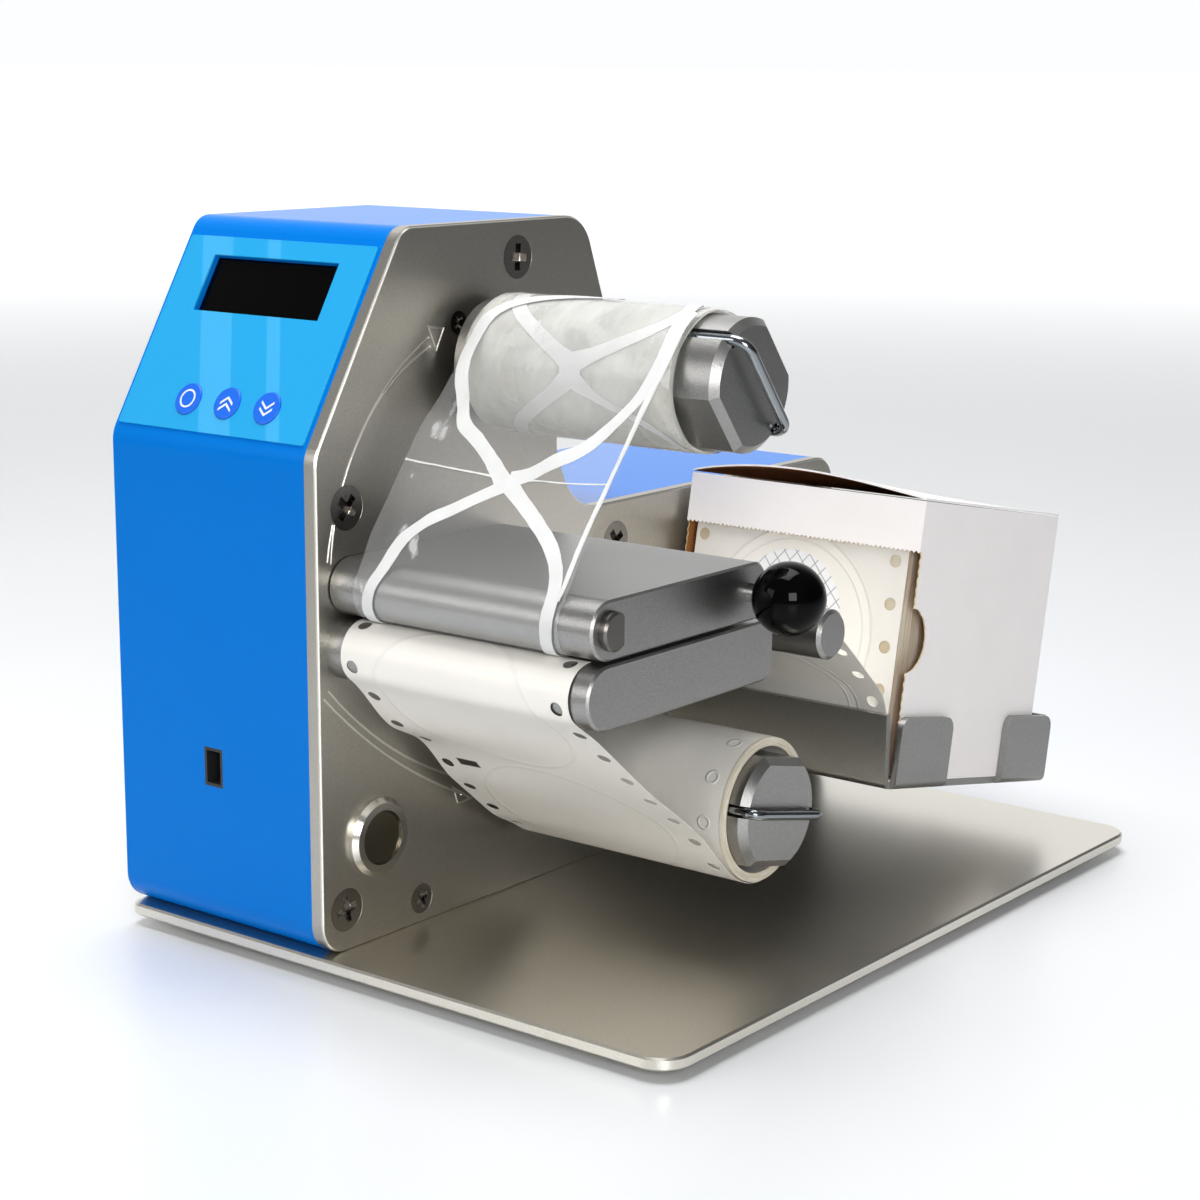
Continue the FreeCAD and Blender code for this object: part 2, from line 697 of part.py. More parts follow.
def make_key(place):
    top = MEMBRANE_THICKNESS + KEY_PROUD
    key = key_cylinder(place, KEY_RADIUS, KEY_BOTTOM, top)
    key = key.makeFillet(KEY_PROUD * 0.9, edges_at(key, Z_AXIS, top))
    return slope_shape(key)


def make_display_glass():
    return slope_shape(window_block(1.5, -COVER_THICKNESS - 1.0, -COVER_THICKNESS))


def make_display_module():
    frame = window_block(3.0, -BOARD_DEPTH, -COVER_THICKNESS)
    frame = frame.cut(window_block(1.5, -COVER_THICKNESS - 1.0, 0.0))
    board = window_block(5.0, -BOARD_DEPTH - CIRCUIT_BOARD, -BOARD_DEPTH)
    return slope_shape(frame.fuse(board))


def make_key_board():
    places = key_places()
    board = block(places[0][0] - 8.0, places[2][0] + 8.0, KEY_RISE - 8.0, KEY_RISE + 8.0,
                  -BOARD_DEPTH - CIRCUIT_BOARD, -BOARD_DEPTH)
    switch_top = KEY_BOTTOM - KEY_TRAVEL - SCREW_GAP
    for x, rise in places:
        board = board.fuse(block(x - 3, x + 3, rise - 3, rise + 3, -BOARD_DEPTH, switch_top))
    return slope_shape(board)


def make_panel_pegs():
    pegs = []
    places = key_places()
    for x in (places[0][0] - 6.2, places[2][0] + 6.2):
        for rise in (KEY_RISE - 6.0, KEY_RISE + 6.0):
            pegs.append((x, rise))
    top = SLOPE_LENGTH - WINDOW_FROM_TOP
    for x in (WINDOW_CENTRE_X - WINDOW_WIDTH / 2 - 4.8, WINDOW_CENTRE_X + WINDOW_WIDTH / 2 + 4.8):
        for rise in (top - WINDOW_HEIGHT / 2 - 4.0, top - WINDOW_HEIGHT / 2 + 4.0):
            pegs.append((x, rise))
    low = -BOARD_DEPTH
    shapes = [key_cylinder(place, PANEL_PEG_RADIUS, low, -COVER_THICKNESS) for place in pegs]
    return slope_shape(Part.makeCompound(shapes))


# ---- electrics ---------------------------------------------------------------------------------
def socket_block(inset, y_from, y_to):
    """The front socket's outline drawn in by an inset."""
    x, z = SOCKET_CENTRE
    half_x = SOCKET_WIDTH / 2 - inset
    half_z = SOCKET_HEIGHT / 2 - inset
    return block(x - half_x, x + half_x, y_from, y_to, z - half_z, z + half_z)


def inlet_bar(radius, depth, start=0.0):
    """A round bar into the rear face, from a start below the surface."""
    point = Vector(INLET_CENTRE[0], BASE_DEPTH - start, INLET_CENTRE[1])
    return Part.makeCylinder(radius, depth, point, -Y_AXIS)


def make_front_socket():
    return socket_block(0.0, 0.0, SOCKET_DEPTH).cut(socket_block(SOCKET_WALL, 0.0, SOCKET_RECESS))


def make_socket_pins():
    x, z = SOCKET_CENTRE
    half = PIN_SIZE / 2
    pins = []
    for side in (-0.5, 0.5):
        pin_z = z + side * PIN_SPACING
        pins.append(block(x - half, x + half, SOCKET_RECESS - PIN_LENGTH, SOCKET_RECESS,
                          pin_z - half, pin_z + half))
    return Part.makeCompound(pins)


def make_dc_inlet():
    return inlet_bar(INLET_RADIUS, INLET_DEPTH).cut(inlet_bar(INLET_BORE, INLET_BORE_DEPTH))


def make_dc_inlet_pin():
    return inlet_bar(INLET_PIN, INLET_BORE_DEPTH - 1.0, 1.0)


def standoff_places():
    """Standoff centres at the control board's corners, as (Y, Z)."""
    y_from, y_to, z_from, z_to = CONTROL_BOARD
    places = []
    for y in (y_from + STANDOFF_INSET, y_to - STANDOFF_INSET):
        for z in (z_from + STANDOFF_INSET, z_to - STANDOFF_INSET):
            places.append((y, z))
    return places


def make_board_standoffs():
    base = FAR_INNER
    return Part.makeCompound([
        bar_x(place, STANDOFF_RADIUS, base, base + STANDOFF_LENGTH) for place in standoff_places()
    ])


def make_control_board():
    y_from, y_to, z_from, z_to = CONTROL_BOARD
    x = FAR_INNER + STANDOFF_LENGTH
    board = block(x, x + CIRCUIT_BOARD, y_from, y_to, z_from, z_to)
    top = x + CIRCUIT_BOARD
    processor = block(top, top + 1.6, y_from + 30, y_from + 44, z_from + 26, z_from + 40)
    connectors = []
    for step in range(4):
        y = y_from + 12 + 17 * step
        connectors.append(block(top, top + 7.0, y, y + 10, z_from + 3, z_from + 9))
    capacitors = [bar_x((y_from + 20 + 14 * step, z_to - 12), 4.0, top, top + 11.0)
                  for step in range(3)]
    for piece in [processor] + connectors + capacitors:
        board = board.fuse(piece)
    return board.removeSplitter()


# ---- push button -------------------------------------------------------------------------------
def make_push_button_body():
    bezel = bar_x(BUTTON_PLACE, BEZEL_RADIUS, 0.0, BEZEL_HEIGHT)
    bezel = bezel.makeChamfer(BEZEL_BEVEL, edges_at(bezel, X_AXIS, BEZEL_HEIGHT))
    body = bezel.fuse(bar_x(BUTTON_PLACE, BARREL_RADIUS, -BARREL_LENGTH, 0.0))
    for step in range(4):
        leg = turned(BARREL_RADIUS * 0.6, 45 + 90 * step)
        place = (BUTTON_PLACE[0] + leg.y, BUTTON_PLACE[1] + leg.z)
        body = body.fuse(bar_x(place, 0.7, -BARREL_LENGTH - 6.0, -BARREL_LENGTH))
    bottom = BEZEL_HEIGHT - PLUNGER_PROUD - PLUNGER_LENGTH - PLUNGER_TRAVEL - 0.5
    return body.cut(bar_x(BUTTON_PLACE, PLUNGER_RADIUS + PLUNGER_GAP, bottom, BEZEL_HEIGHT))


def make_push_button_plunger():
    top = BEZEL_HEIGHT - PLUNGER_PROUD
    plunger = bar_x(BUTTON_PLACE, PLUNGER_RADIUS, top - PLUNGER_LENGTH, top)
    return plunger.makeChamfer(0.4, edges_at(plunger, X_AXIS, top))


def make_push_button_nut():
    corners = []
    for step in range(6):
        point = yz(BUTTON_PLACE[0], BUTTON_PLACE[1], NEAR_INNER - 3.0) + turned(12.7, 60 * step)
        corners.append((point, 0.6))
    nut = prism(corners, X_AXIS * 3.0)
    return nut.cut(bar_x(BUTTON_PLACE, BARREL_RADIUS + THREAD_GAP, NEAR_INNER - 3.0, NEAR_INNER))


# ---- drives and spindles -----------------------------------------------------------------------
def make_gearmotor(axis):
    gearbox = bar_x(axis, GEARBOX_RADIUS, NEAR_INNER - GEARBOX_LENGTH, NEAR_INNER)
    motor_start = NEAR_INNER - GEARBOX_LENGTH - MOTOR_LENGTH
    motor = bar_x(axis, MOTOR_RADIUS, motor_start, NEAR_INNER - GEARBOX_LENGTH)
    motor = motor.makeFillet(2.0, edges_at(motor, X_AXIS, motor_start))
    tools = [bar_x(axis, SHAFT_RADIUS + SHAFT_GAP, NEAR_INNER - SHAFT_IN_MOTOR - 1.0, NEAR_INNER)]
    for place in motor_screw_places(axis):
        tools.append(bar_x(place, M3[0] + THREAD_GAP, -MOTOR_SCREW_LENGTH, NEAR_INNER))
    return cut_all(gearbox.fuse(motor), tools)


def make_motor_screws(axis, first_spin):
    screws = []
    for index, (y, z) in enumerate(motor_screw_places(axis)):
        spin = first_spin + 29 * index
        screws.append(countersunk_screw(yz(y, z), -X_AXIS, M3, MOTOR_SCREW_LENGTH, spin))
    return Part.makeCompound(screws)


def make_bushing(axis):
    flange = bar_x(axis, BUSHING_FLANGE, 0.0, BUSHING_FLANGE_THICKNESS)
    sleeve = bar_x(axis, BUSHING_RADIUS, NEAR_INNER, 0.0)
    bore = bar_x(axis, SHAFT_RADIUS + SHAFT_GAP, NEAR_INNER, BUSHING_FLANGE_THICKNESS)
    return flange.fuse(sleeve).cut(bore)


def make_shaft(axis):
    return bar_x(axis, SHAFT_RADIUS, NEAR_INNER - SHAFT_IN_MOTOR, SPINDLE_START + SHAFT_IN_SPINDLE)


def set_screw_bar(axis, angle):
    """The set screw's place, through a flat and down to the shaft."""
    start = yz(axis[0], axis[1], SPINDLE_START + SET_SCREW_PLACE) + turned(SHAFT_RADIUS, angle + 90)
    length = SPINDLE_FLATS / 2 - SHAFT_RADIUS
    return Part.makeCylinder(SET_SCREW_RADIUS, length, start, turned(1.0, angle + 90))


def leg_radius():
    """Distance of a clip's leg from the spindle's axis."""
    return SPINDLE_RADIUS - CLIP_WIRE - CLIP_GAP


def make_spindle(axis, angle, end):
    body = bar_x((0, 0), SPINDLE_RADIUS, SPINDLE_START, end)
    half = SPINDLE_FLATS / 2
    reach = SPINDLE_RADIUS + 1
    body = body.common(block(SPINDLE_START, end, -reach, reach, -half, half))
    body = body.makeChamfer(SPINDLE_CHAMFER, edges_at(body, X_AXIS, end))
    slot_half = CLIP_WIRE + CLIP_GAP
    floor = leg_radius() - CLIP_WIRE - CLIP_GAP
    slots = []
    for y_from, y_to in ((floor, reach), (-reach, -floor)):
        slots.append(block(CLIP_LEG_START - 1.0, end, y_from, y_to, -slot_half, slot_half))
    body = cut_all(body, slots)
    body.rotate(Vector(0, 0, 0), X_AXIS, angle)
    body.translate(yz(*axis))
    bore = bar_x(axis, SHAFT_RADIUS, SPINDLE_START, SPINDLE_START + SHAFT_IN_SPINDLE)
    return body.cut(bore).cut(set_screw_bar(axis, angle))


def make_clip(axis, angle, bridge_x, bend):
    reach = turned(leg_radius(), angle)
    centre = yz(axis[0], axis[1], CLIP_LEG_START)
    bridge = centre + X_AXIS * (bridge_x - CLIP_LEG_START)
    corners = [
        (centre + reach, 0.0),
        (bridge + reach, bend),
        (bridge - reach, bend),
        (centre - reach, 0.0),
    ]
    path = Part.Wire(path_edges(corners, False))
    section = Part.Wire(Part.makeCircle(CLIP_WIRE, corners[0][0], X_AXIS))
    return path.makePipeShell([section], True, True)


def make_roll(axis, radius, start, width):
    inner = SPINDLE_RADIUS + ROLL_GAP
    return bar_x(axis, radius, start, start + width).cut(bar_x(axis, inner, start, start + width))


# ---- guide plates, pivot, knob and rod ---------------------------------------------------------
def guide_plate(x_from, front, rear, bottom, thickness):
    """A thick plate with a full round nose and rounded rear corners."""
    top = bottom + thickness
    nose = thickness / 2 - 0.001
    corners = [
        (yz(front, bottom, x_from), nose),
        (yz(rear, bottom, x_from), GUIDE_REAR_RADIUS),
        (yz(rear, top, x_from), GUIDE_REAR_RADIUS),
        (yz(front, top, x_from), nose),
    ]
    plate = prism(corners, X_AXIS * (GUIDE_END - x_from))
    return plate.makeChamfer(EDGE_BREAK, edges_at(plate, X_AXIS, GUIDE_END))


def make_lower_guide_plate():
    plate = guide_plate(0.0, LOWER_GUIDE_FRONT, LOWER_GUIDE_REAR,
                        SLIT_BOTTOM - LOWER_GUIDE_THICKNESS, LOWER_GUIDE_THICKNESS)
    places = guide_screw_places()[:2]
    return cut_all(plate, [bar_x(place, M5_SHANK + THREAD_GAP, 0.0, 16.0) for place in places])


def make_upper_guide_plate():
    plate = guide_plate(GUIDE_SIDE_GAP, UPPER_GUIDE_FRONT, UPPER_GUIDE_REAR, SLIT_TOP,
                        UPPER_GUIDE_THICKNESS)
    bore = bar_x(PIVOT, PIVOT_RADIUS + PIVOT_GAP, 0.0, GUIDE_END)
    stem_hole = bar_x((KNOB_PLACE, PIVOT[1]), KNOB_STEM_RADIUS, GUIDE_END - STEM_IN_PLATE,
                      GUIDE_END)
    return cut_all(plate, [bore, stem_hole])


def make_pivot_shaft():
    end = GUIDE_END + PIVOT_STAND_OUT
    shaft = bar_x(PIVOT, PIVOT_RADIUS, 0.0, end)
    shaft = shaft.makeChamfer(EDGE_BREAK, edges_at(shaft, X_AXIS, end))
    flat_y = PIVOT[0] + PIVOT_RADIUS - PIVOT_FLAT
    flat = block(end - PIVOT_FLAT_LENGTH, end, flat_y, flat_y + PIVOT_RADIUS,
                 PIVOT[1] - PIVOT_RADIUS, PIVOT[1] + PIVOT_RADIUS)
    return cut_all(shaft, [flat, bar_x(PIVOT, M5_SHANK + THREAD_GAP, 0.0, 16.0)])


def knob_centre():
    """The ball's centre, off the upper plate's end face."""
    return yz(KNOB_PLACE, PIVOT[1], GUIDE_END + KNOB_STAND_OFF + KNOB_FLAT)


def make_knob_stem():
    return bar_x((KNOB_PLACE, PIVOT[1]), KNOB_STEM_RADIUS, GUIDE_END - STEM_IN_PLATE,
                 knob_centre().x + 2.0)


def make_ball_knob():
    centre = knob_centre()
    ball = Part.makeSphere(KNOB_RADIUS, centre)
    flat_x = centre.x - KNOB_FLAT
    spare = block(flat_x - KNOB_RADIUS, flat_x, centre.y - KNOB_RADIUS, centre.y + KNOB_RADIUS,
                  centre.z - KNOB_RADIUS, centre.z + KNOB_RADIUS)
    hole = bar_x((centre.y, centre.z), KNOB_STEM_RADIUS, flat_x, centre.x + 2.0)
    return cut_all(ball, [spare, hole])


def make_guide_rod():
    rod = bar_x(ROD_AXIS, ROD_RADIUS, 0.0, ROD_END)
    rod = rod.makeChamfer(ROD_CHAMFER, edges_at(rod, X_AXIS, ROD_END))
    return rod.cut(bar_x(ROD_AXIS, M5_SHANK + THREAD_GAP, 0.0, 16.0))


def make_guide_screws():
    return Part.makeCompound([
        cap_screw(place, NEAR_INNER, PLATE_THICKNESS + 12.0) for place in guide_screw_places()
    ])


# ---- webs --------------------------------------------------------------------------------------
def tangent_angle(centre_a, radius_a, centre_b, radius_b):
    """Angle of a belt run that passes two circles on its right-hand side."""
    step_y = centre_b[0] - centre_a[0]
    step_z = centre_b[1] - centre_a[1]
    lean = math.asin((radius_a - radius_b) / math.hypot(step_y, step_z))
    return math.degrees(math.atan2(step_z, step_y) - lean)


def nose_wrap(centre, radius, angle, side):
    """Corner where a web leaves the slit, wraps a nose and runs off at an angle."""
    turn = math.radians(180 - abs(angle))
    return yz(centre[0] - radius * math.tan(turn / 2), centre[1] - side * radius)


def belt_run(nose, nose_radius, roll, roll_radius, side):
    """The path of a web from the slit round a nose to a roll; side is +1 upwards, -1 down."""
    mirror_nose = (nose[0], side * nose[1])
    mirror_roll = (roll[0], side * roll[1])
    angle = tangent_angle(mirror_nose, nose_radius, mirror_roll, roll_radius)
    corner = nose_wrap(nose, nose_radius, angle, side)
    touch = turned(roll_radius, side * (angle + 90))
    end = yz(roll[0], roll[1]) + touch
    start = yz(nose[0], nose[1] - side * nose_radius)
    return [(start, 0.0), (corner, nose_radius), (end, 0.0)]


def at_x(corners, x):
    """The same path moved along X."""
    return [(point + X_AXIS * x, radius) for point, radius in corners]


def make_film_web():
    ply = PLY_THICKNESS / 2
    radius = UPPER_NOSE + WEB_CLEARANCE + ply
    roll_radius = FILM_ROLL_RADIUS + WEB_CLEARANCE + ply
    path = belt_run(PIVOT, radius, UPPER_AXIS, roll_radius, 1)
    return ribbon(at_x(path, FILM_START), PLY_THICKNESS, X_AXIS, X_AXIS * FILM_WIDTH)


def make_liner_web():
    ply = PLY_THICKNESS / 2
    radius = LOWER_NOSE + LINER_LIFT + ply
    roll_radius = LINER_ROLL_RADIUS + WEB_CLEARANCE + ply
    path = belt_run(LOWER_CENTRE, radius, LOWER_AXIS, roll_radius, -1)
    return ribbon(at_x(path, WEB_START), PLY_THICKNESS, X_AXIS, X_AXIS * WEB_WIDTH)


def line_crossing(point_a, way_a, point_b, way_b):
    """Where two lines in the Y-Z plane cross."""
    denominator = way_a.y * way_b.z - way_a.z * way_b.y
    gap = point_b - point_a
    return point_a + way_a * ((gap.y * way_b.z - gap.z * way_b.y) / denominator)


def make_label_web():
    half = WEB_THICKNESS / 2
    level = SLIT_BOTTOM + LINER_LIFT + half
    start = yz(PIVOT[0] + 0.2, level)
    exit_corner = yz(LOWER_GUIDE_REAR + 4.0, level)
    rod_radius = ROD_RADIUS + LINER_LIFT + half
    to_rod = tangent_angle((exit_corner.y, exit_corner.z), 0.0, ROD_AXIS, rod_radius)
    rod = yz(*ROD_AXIS)
    touch = rod + turned(rod_radius, WEB_DROP + 90)
    over_rod = line_crossing(exit_corner, turned(1.0, to_rod), touch, turned(1.0, WEB_DROP))
    front = CARTON_FRONT + STACK_FRONT - REST_GAP - half
    panel_top = tray_point(front, CARTON_HEIGHT)
    panel_foot = tray_point(front, TRAY_SHEET + 2.0)
    meet = line_crossing(over_rod, turned(1.0, WEB_DROP), panel_foot, panel_top - panel_foot)
    path = [
        (start, 0.0),
        (exit_corner, 40.0),
        (over_rod, rod_radius),
        (meet, 18.0),
        (panel_foot, 0.0),
    ]
    return ribbon(at_x(path, WEB_START), WEB_THICKNESS, X_AXIS, X_AXIS * WEB_WIDTH)


# ---- tray and carton ---------------------------------------------------------------------------
def make_label_tray():
    half = TRAY_SHEET / 2
    inner_end = TRAY_END - half
    lip = tray_point(half, half, 0.0)
    side_path = [
        (yz(lip.y, lip.z + TRAY_WALL), 0.0),
        (lip, TRAY_BEND - half),
        (tray_point(TRAY_DEPTH - half, half), TRAY_BEND - half),
        (tray_point(TRAY_DEPTH - half, TRAY_WALL), 0.0),
    ]
    span = X_AXIS * (TRAY_END - TRAY_BEND)
    tray = ribbon(side_path, TRAY_SHEET, X_AXIS, span)
    along = turned(1.0, -TRAY_TILT)
    spans = ((TRAY_BEND, TRAY_SLOT[0], inner_end), (TRAY_SLOT[1], TRAY_DEPTH, inner_end),
             (TRAY_BEND, TRAY_DEPTH - TRAY_BEND, half))
    middle = TRAY_END / 2
    for start, end, wall_x in spans:
        bend_path = [
            (tray_point(start, half, middle), 0.0),
            (tray_point(start, half, wall_x), TRAY_BEND - half),
            (tray_point(start, TRAY_BEND, wall_x), 0.0),
        ]
        bend = ribbon(bend_path, TRAY_SHEET, along, along * (end - start))
        wall_corners = [
            (tray_point(start, TRAY_BEND, wall_x - half), 0.0),
            (tray_point(end, TRAY_BEND, wall_x - half), 0.0),
            (tray_point(end, TRAY_WALL, wall_x - half), TAB_CORNER),
            (tray_point(start, TRAY_WALL, wall_x - half), TAB_CORNER),
        ]
        tray = tray.fuse([bend, prism(wall_corners, X_AXIS * TRAY_SHEET)])
    tray = tray.removeSplitter()
    tools = []
    for point in tray_screw_points():
        tools.append(countersunk(point, -X_AXIS, M3, 12.0, SCREW_GAP))
    return cut_all(tray, tools)


def make_tray_screws():
    screws = []
    for index, point in enumerate(tray_screw_points()):
        length = TRAY_SHEET + PLATE_THICKNESS
        screws.append(countersunk_screw(point, -X_AXIS, M3, length, 40 * index))
    return Part.makeCompound(screws)


def tray_shape(shape):
    """Moves a shape from tray axes, Y along the floor and Z up from it, into place."""
    placed = shape.copy()
    placed.rotate(Vector(0, 0, 0), X_AXIS, -TRAY_TILT)
    placed.translate(yz(*TRAY_CORNER))
    return placed


def carton_block(inset, low, high):
    """The carton's plan drawn in by an inset, between two heights over the tray's underside."""
    return block(CARTON_START + inset, CARTON_START + CARTON_WIDTH - inset,
                 CARTON_FRONT + inset, CARTON_FRONT + CARTON_DEPTH - inset, low, high)


def carton_floor():
    """Height of the carton's underside over the tray's underside."""
    return TRAY_SHEET + REST_GAP


def make_carton():
    low = carton_floor()
    high = low + CARTON_HEIGHT
    box = carton_block(0.0, low, high)
    tools = [carton_block(CARD, low + CARD, high + 1.0)]
    tools.append(block(CARTON_START + CARD, CARTON_START + CARTON_WIDTH - CARD, CARTON_FRONT - 1.0,
                       CARTON_FRONT + CARD + 0.5, low + CARD, high - CARTON_FLAP))
    notch = bar_x((CARTON_FRONT, low + NOTCH_HEIGHT), NOTCH_RADIUS, CARTON_START - 1.0,
                  CARTON_START + CARTON_WIDTH + 1.0)
    tools.append(notch)
    return tray_shape(cut_all(box, tools))


def make_carton_lid():
    low = carton_floor() + CARTON_HEIGHT + LID_GAP
    start = Vector(CARTON_START, CARTON_FRONT, low)
    end = start + X_AXIS * CARTON_WIDTH
    middle = (start + end) * 0.5 + Z_AXIS * LID_BULGE
    lift = Z_AXIS * CARD
    edges = [
        Part.Arc(start, middle, end).toShape(),
        Part.LineSegment(end, end + lift).toShape(),
        Part.Arc(end + lift, middle + lift, start + lift).toShape(),
        Part.LineSegment(start + lift, start).toShape(),
    ]
    return tray_shape(Part.Face(Part.Wire(edges)).extrude(Y_AXIS * CARTON_DEPTH))


def make_label_stack():
    low = carton_floor() + CARD + REST_GAP
    front = CARTON_FRONT + STACK_FRONT
    return tray_shape(block(WEB_START, WEB_START + WEB_WIDTH, front, front + STACK_DEPTH, low,
                            low + STACK_HEIGHT))


# ---- the whole machine -------------------------------------------------------------------------
def all_nodes():
    """Every node's name and shape."""
    keys = key_places()
    return {
        "base_plate": make_base_plate(),
        "rubber_feet": make_rubber_feet(),
        "base_brackets": make_base_brackets(),
        "base_screws": make_base_screws(),
        "bracket_screws": make_bracket_screws(),
        "side_plate": make_side_plate(),
        "far_side_plate": make_far_side_plate(),
        "wrap_cover": make_wrap_cover(),
        "tie_bars": make_tie_bars(),
        "side_plate_screws": make_plate_screws(0.0, -X_AXIS),
        "far_plate_screws": make_plate_screws(FAR_FACE, X_AXIS),
        "membrane_panel": make_membrane_panel(),
        "display_glass": make_display_glass(),
        "display_module": make_display_module(),
        "key_start": make_key(keys[0]),
        "key_up": make_key(keys[1]),
        "key_down": make_key(keys[2]),
        "key_board": make_key_board(),
        "panel_pegs": make_panel_pegs(),
        "control_board": make_control_board(),
        "board_standoffs": make_board_standoffs(),
        "push_button_body": make_push_button_body(),
        "push_button_plunger": make_push_button_plunger(),
        "push_button_nut": make_push_button_nut(),
        "front_socket": make_front_socket(),
        "socket_pins": make_socket_pins(),
        "dc_inlet": make_dc_inlet(),
        "dc_inlet_pin": make_dc_inlet_pin(),
        "upper_gearmotor": make_gearmotor(UPPER_AXIS),
        "lower_gearmotor": make_gearmotor(LOWER_AXIS),
        "upper_motor_screws": make_motor_screws(UPPER_AXIS, 8),
        "lower_motor_screws": make_motor_screws(LOWER_AXIS, 17),
        "upper_bushing": make_bushing(UPPER_AXIS),
        "lower_bushing": make_bushing(LOWER_AXIS),
        "upper_shaft": make_shaft(UPPER_AXIS),
        "lower_shaft": make_shaft(LOWER_AXIS),
        "upper_spindle": make_spindle(UPPER_AXIS, UPPER_FLAT_ANGLE, UPPER_SPINDLE_END),
        "lower_spindle": make_spindle(LOWER_AXIS, LOWER_FLAT_ANGLE, LOWER_SPINDLE_END),
        "upper_set_screw": set_screw_bar(UPPER_AXIS, UPPER_FLAT_ANGLE),
        "lower_set_screw": set_screw_bar(LOWER_AXIS, LOWER_FLAT_ANGLE),
        "upper_clip": make_clip(UPPER_AXIS, UPPER_FLAT_ANGLE, UPPER_SPINDLE_END + UPPER_STAND_OFF,
                                UPPER_CLIP_BEND),
        "lower_clip": make_clip(LOWER_AXIS, LOWER_FLAT_ANGLE, LOWER_SPINDLE_END + LOWER_STAND_OFF,
                                LOWER_CLIP_BEND),
        "film_roll": make_roll(UPPER_AXIS, FILM_ROLL_RADIUS, FILM_START, FILM_WIDTH),
        "liner_roll": make_roll(LOWER_AXIS, LINER_ROLL_RADIUS, WEB_START, WEB_WIDTH),
        "film_web": make_film_web(),
        "liner_web": make_liner_web(),
        "label_web": make_label_web(),
        "lower_guide_plate": make_lower_guide_plate(),
        "upper_guide_plate": make_upper_guide_plate(),
        "pivot_shaft": make_pivot_shaft(),
        "knob_stem": make_knob_stem(),
        "ball_knob": make_ball_knob(),
        "guide_rod": make_guide_rod(),
        "guide_screws": make_guide_screws(),
        "label_tray": make_label_tray(),
        "tray_screws": make_tray_screws(),
        "carton": make_carton(),
        "carton_lid": make_carton_lid(),
        "label_stack": make_label_stack(),
    }


os.makedirs("parts", exist_ok=True)
for node_name, node_shape in all_nodes().items():
    node_shape.translate(ORIGIN * -1)
    node_shape.exportStep("parts/" + node_name + ".step")
    if not node_shape.isValid():
        print("not valid:", node_name)
    print(node_name, len(node_shape.Solids), "solids", round(node_shape.Volume, 1))
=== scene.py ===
import bisect
import json
import math

import bmesh
import bpy
from bpy.props import FloatProperty, FloatVectorProperty, PointerProperty
from mathutils import Matrix, Vector, noise


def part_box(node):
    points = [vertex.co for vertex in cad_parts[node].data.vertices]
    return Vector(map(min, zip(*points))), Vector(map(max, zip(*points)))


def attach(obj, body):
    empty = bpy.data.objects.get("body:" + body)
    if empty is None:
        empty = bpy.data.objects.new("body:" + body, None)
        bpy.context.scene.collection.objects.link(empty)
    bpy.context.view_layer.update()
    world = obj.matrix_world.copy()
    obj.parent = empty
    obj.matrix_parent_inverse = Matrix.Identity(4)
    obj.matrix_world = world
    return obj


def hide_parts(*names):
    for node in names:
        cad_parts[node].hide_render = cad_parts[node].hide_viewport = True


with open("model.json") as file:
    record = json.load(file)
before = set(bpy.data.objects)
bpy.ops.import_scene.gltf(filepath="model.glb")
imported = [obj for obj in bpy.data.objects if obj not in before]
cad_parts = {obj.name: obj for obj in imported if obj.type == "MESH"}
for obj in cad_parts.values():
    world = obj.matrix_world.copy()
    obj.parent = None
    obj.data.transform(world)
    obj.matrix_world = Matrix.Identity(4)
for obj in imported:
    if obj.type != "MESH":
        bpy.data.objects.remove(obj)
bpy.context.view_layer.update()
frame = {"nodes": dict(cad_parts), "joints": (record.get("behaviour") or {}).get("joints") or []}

bl_info = {
    "name": "Label Rewinder",
    "version": (1, 0, 0),
    "blender": (4, 5, 0),
    "location": "View3D > Sidebar > Rewinder",
    "description": "Finishes and soft pieces for a desktop label rewinder around its packed frame",
    "category": "Object",
}

MM = 0.001


# ---- places taken from the frame ---------------------------------------------------------------
def joint_place(name):
    """The point that a joint turns about, in metres."""
    for joint in frame["joints"]:
        if joint["name"] == name:
            return Vector(joint["pos_m"])
    raise RuntimeError("no joint named " + name)


def node_box(name):
    """Lowest and highest corner of a node, as vectors in metres."""
    low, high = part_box(name)
    return Vector(low), Vector(high)


# Lengths below are in millimetres from the side plate's face, the front edge and the base's top.
CORNER = Vector((node_box("side_plate")[1].x, node_box("base_plate")[0].y,
                 node_box("base_plate")[1].z))


def placed(x, y, z):
    """A point given in millimetres, in metres in the frame."""
    return CORNER + Vector((x, y, z)) * MM


def in_millimetres(point):
    """A point of the frame in millimetres from the machine's own corner."""
    return (Vector(point) - CORNER) / MM


def box_in_millimetres(name):
    """Lowest and highest corner of a node, in millimetres from the machine's corner."""
    return [in_millimetres(corner) for corner in node_box(name)]


UPPER_AXIS = in_millimetres(joint_place("upper_spindle_turn"))
LOWER_AXIS = in_millimetres(joint_place("lower_spindle_turn"))
PIVOT = in_millimetres(joint_place("upper_guide_lift"))
LOWER_GUIDE_LOW, LOWER_GUIDE_HIGH = box_in_millimetres("lower_guide_plate")
LOWER_NOSE = (LOWER_GUIDE_HIGH.z - LOWER_GUIDE_LOW.z) / 2
LOWER_CENTRE = (LOWER_GUIDE_LOW.y + LOWER_NOSE, LOWER_GUIDE_LOW.z + LOWER_NOSE)
UPPER_NOSE = PIVOT.z - box_in_millimetres("upper_guide_plate")[0].z
ROD_LOW, ROD_HIGH = box_in_millimetres("guide_rod")
ROD = (ROD_LOW + ROD_HIGH) / 2
FILM_LOW, FILM_HIGH = box_in_millimetres("film_roll")
LINER_LOW, LINER_HIGH = box_in_millimetres("liner_roll")
FILM_RADIUS = (FILM_HIGH.y - FILM_LOW.y) / 2
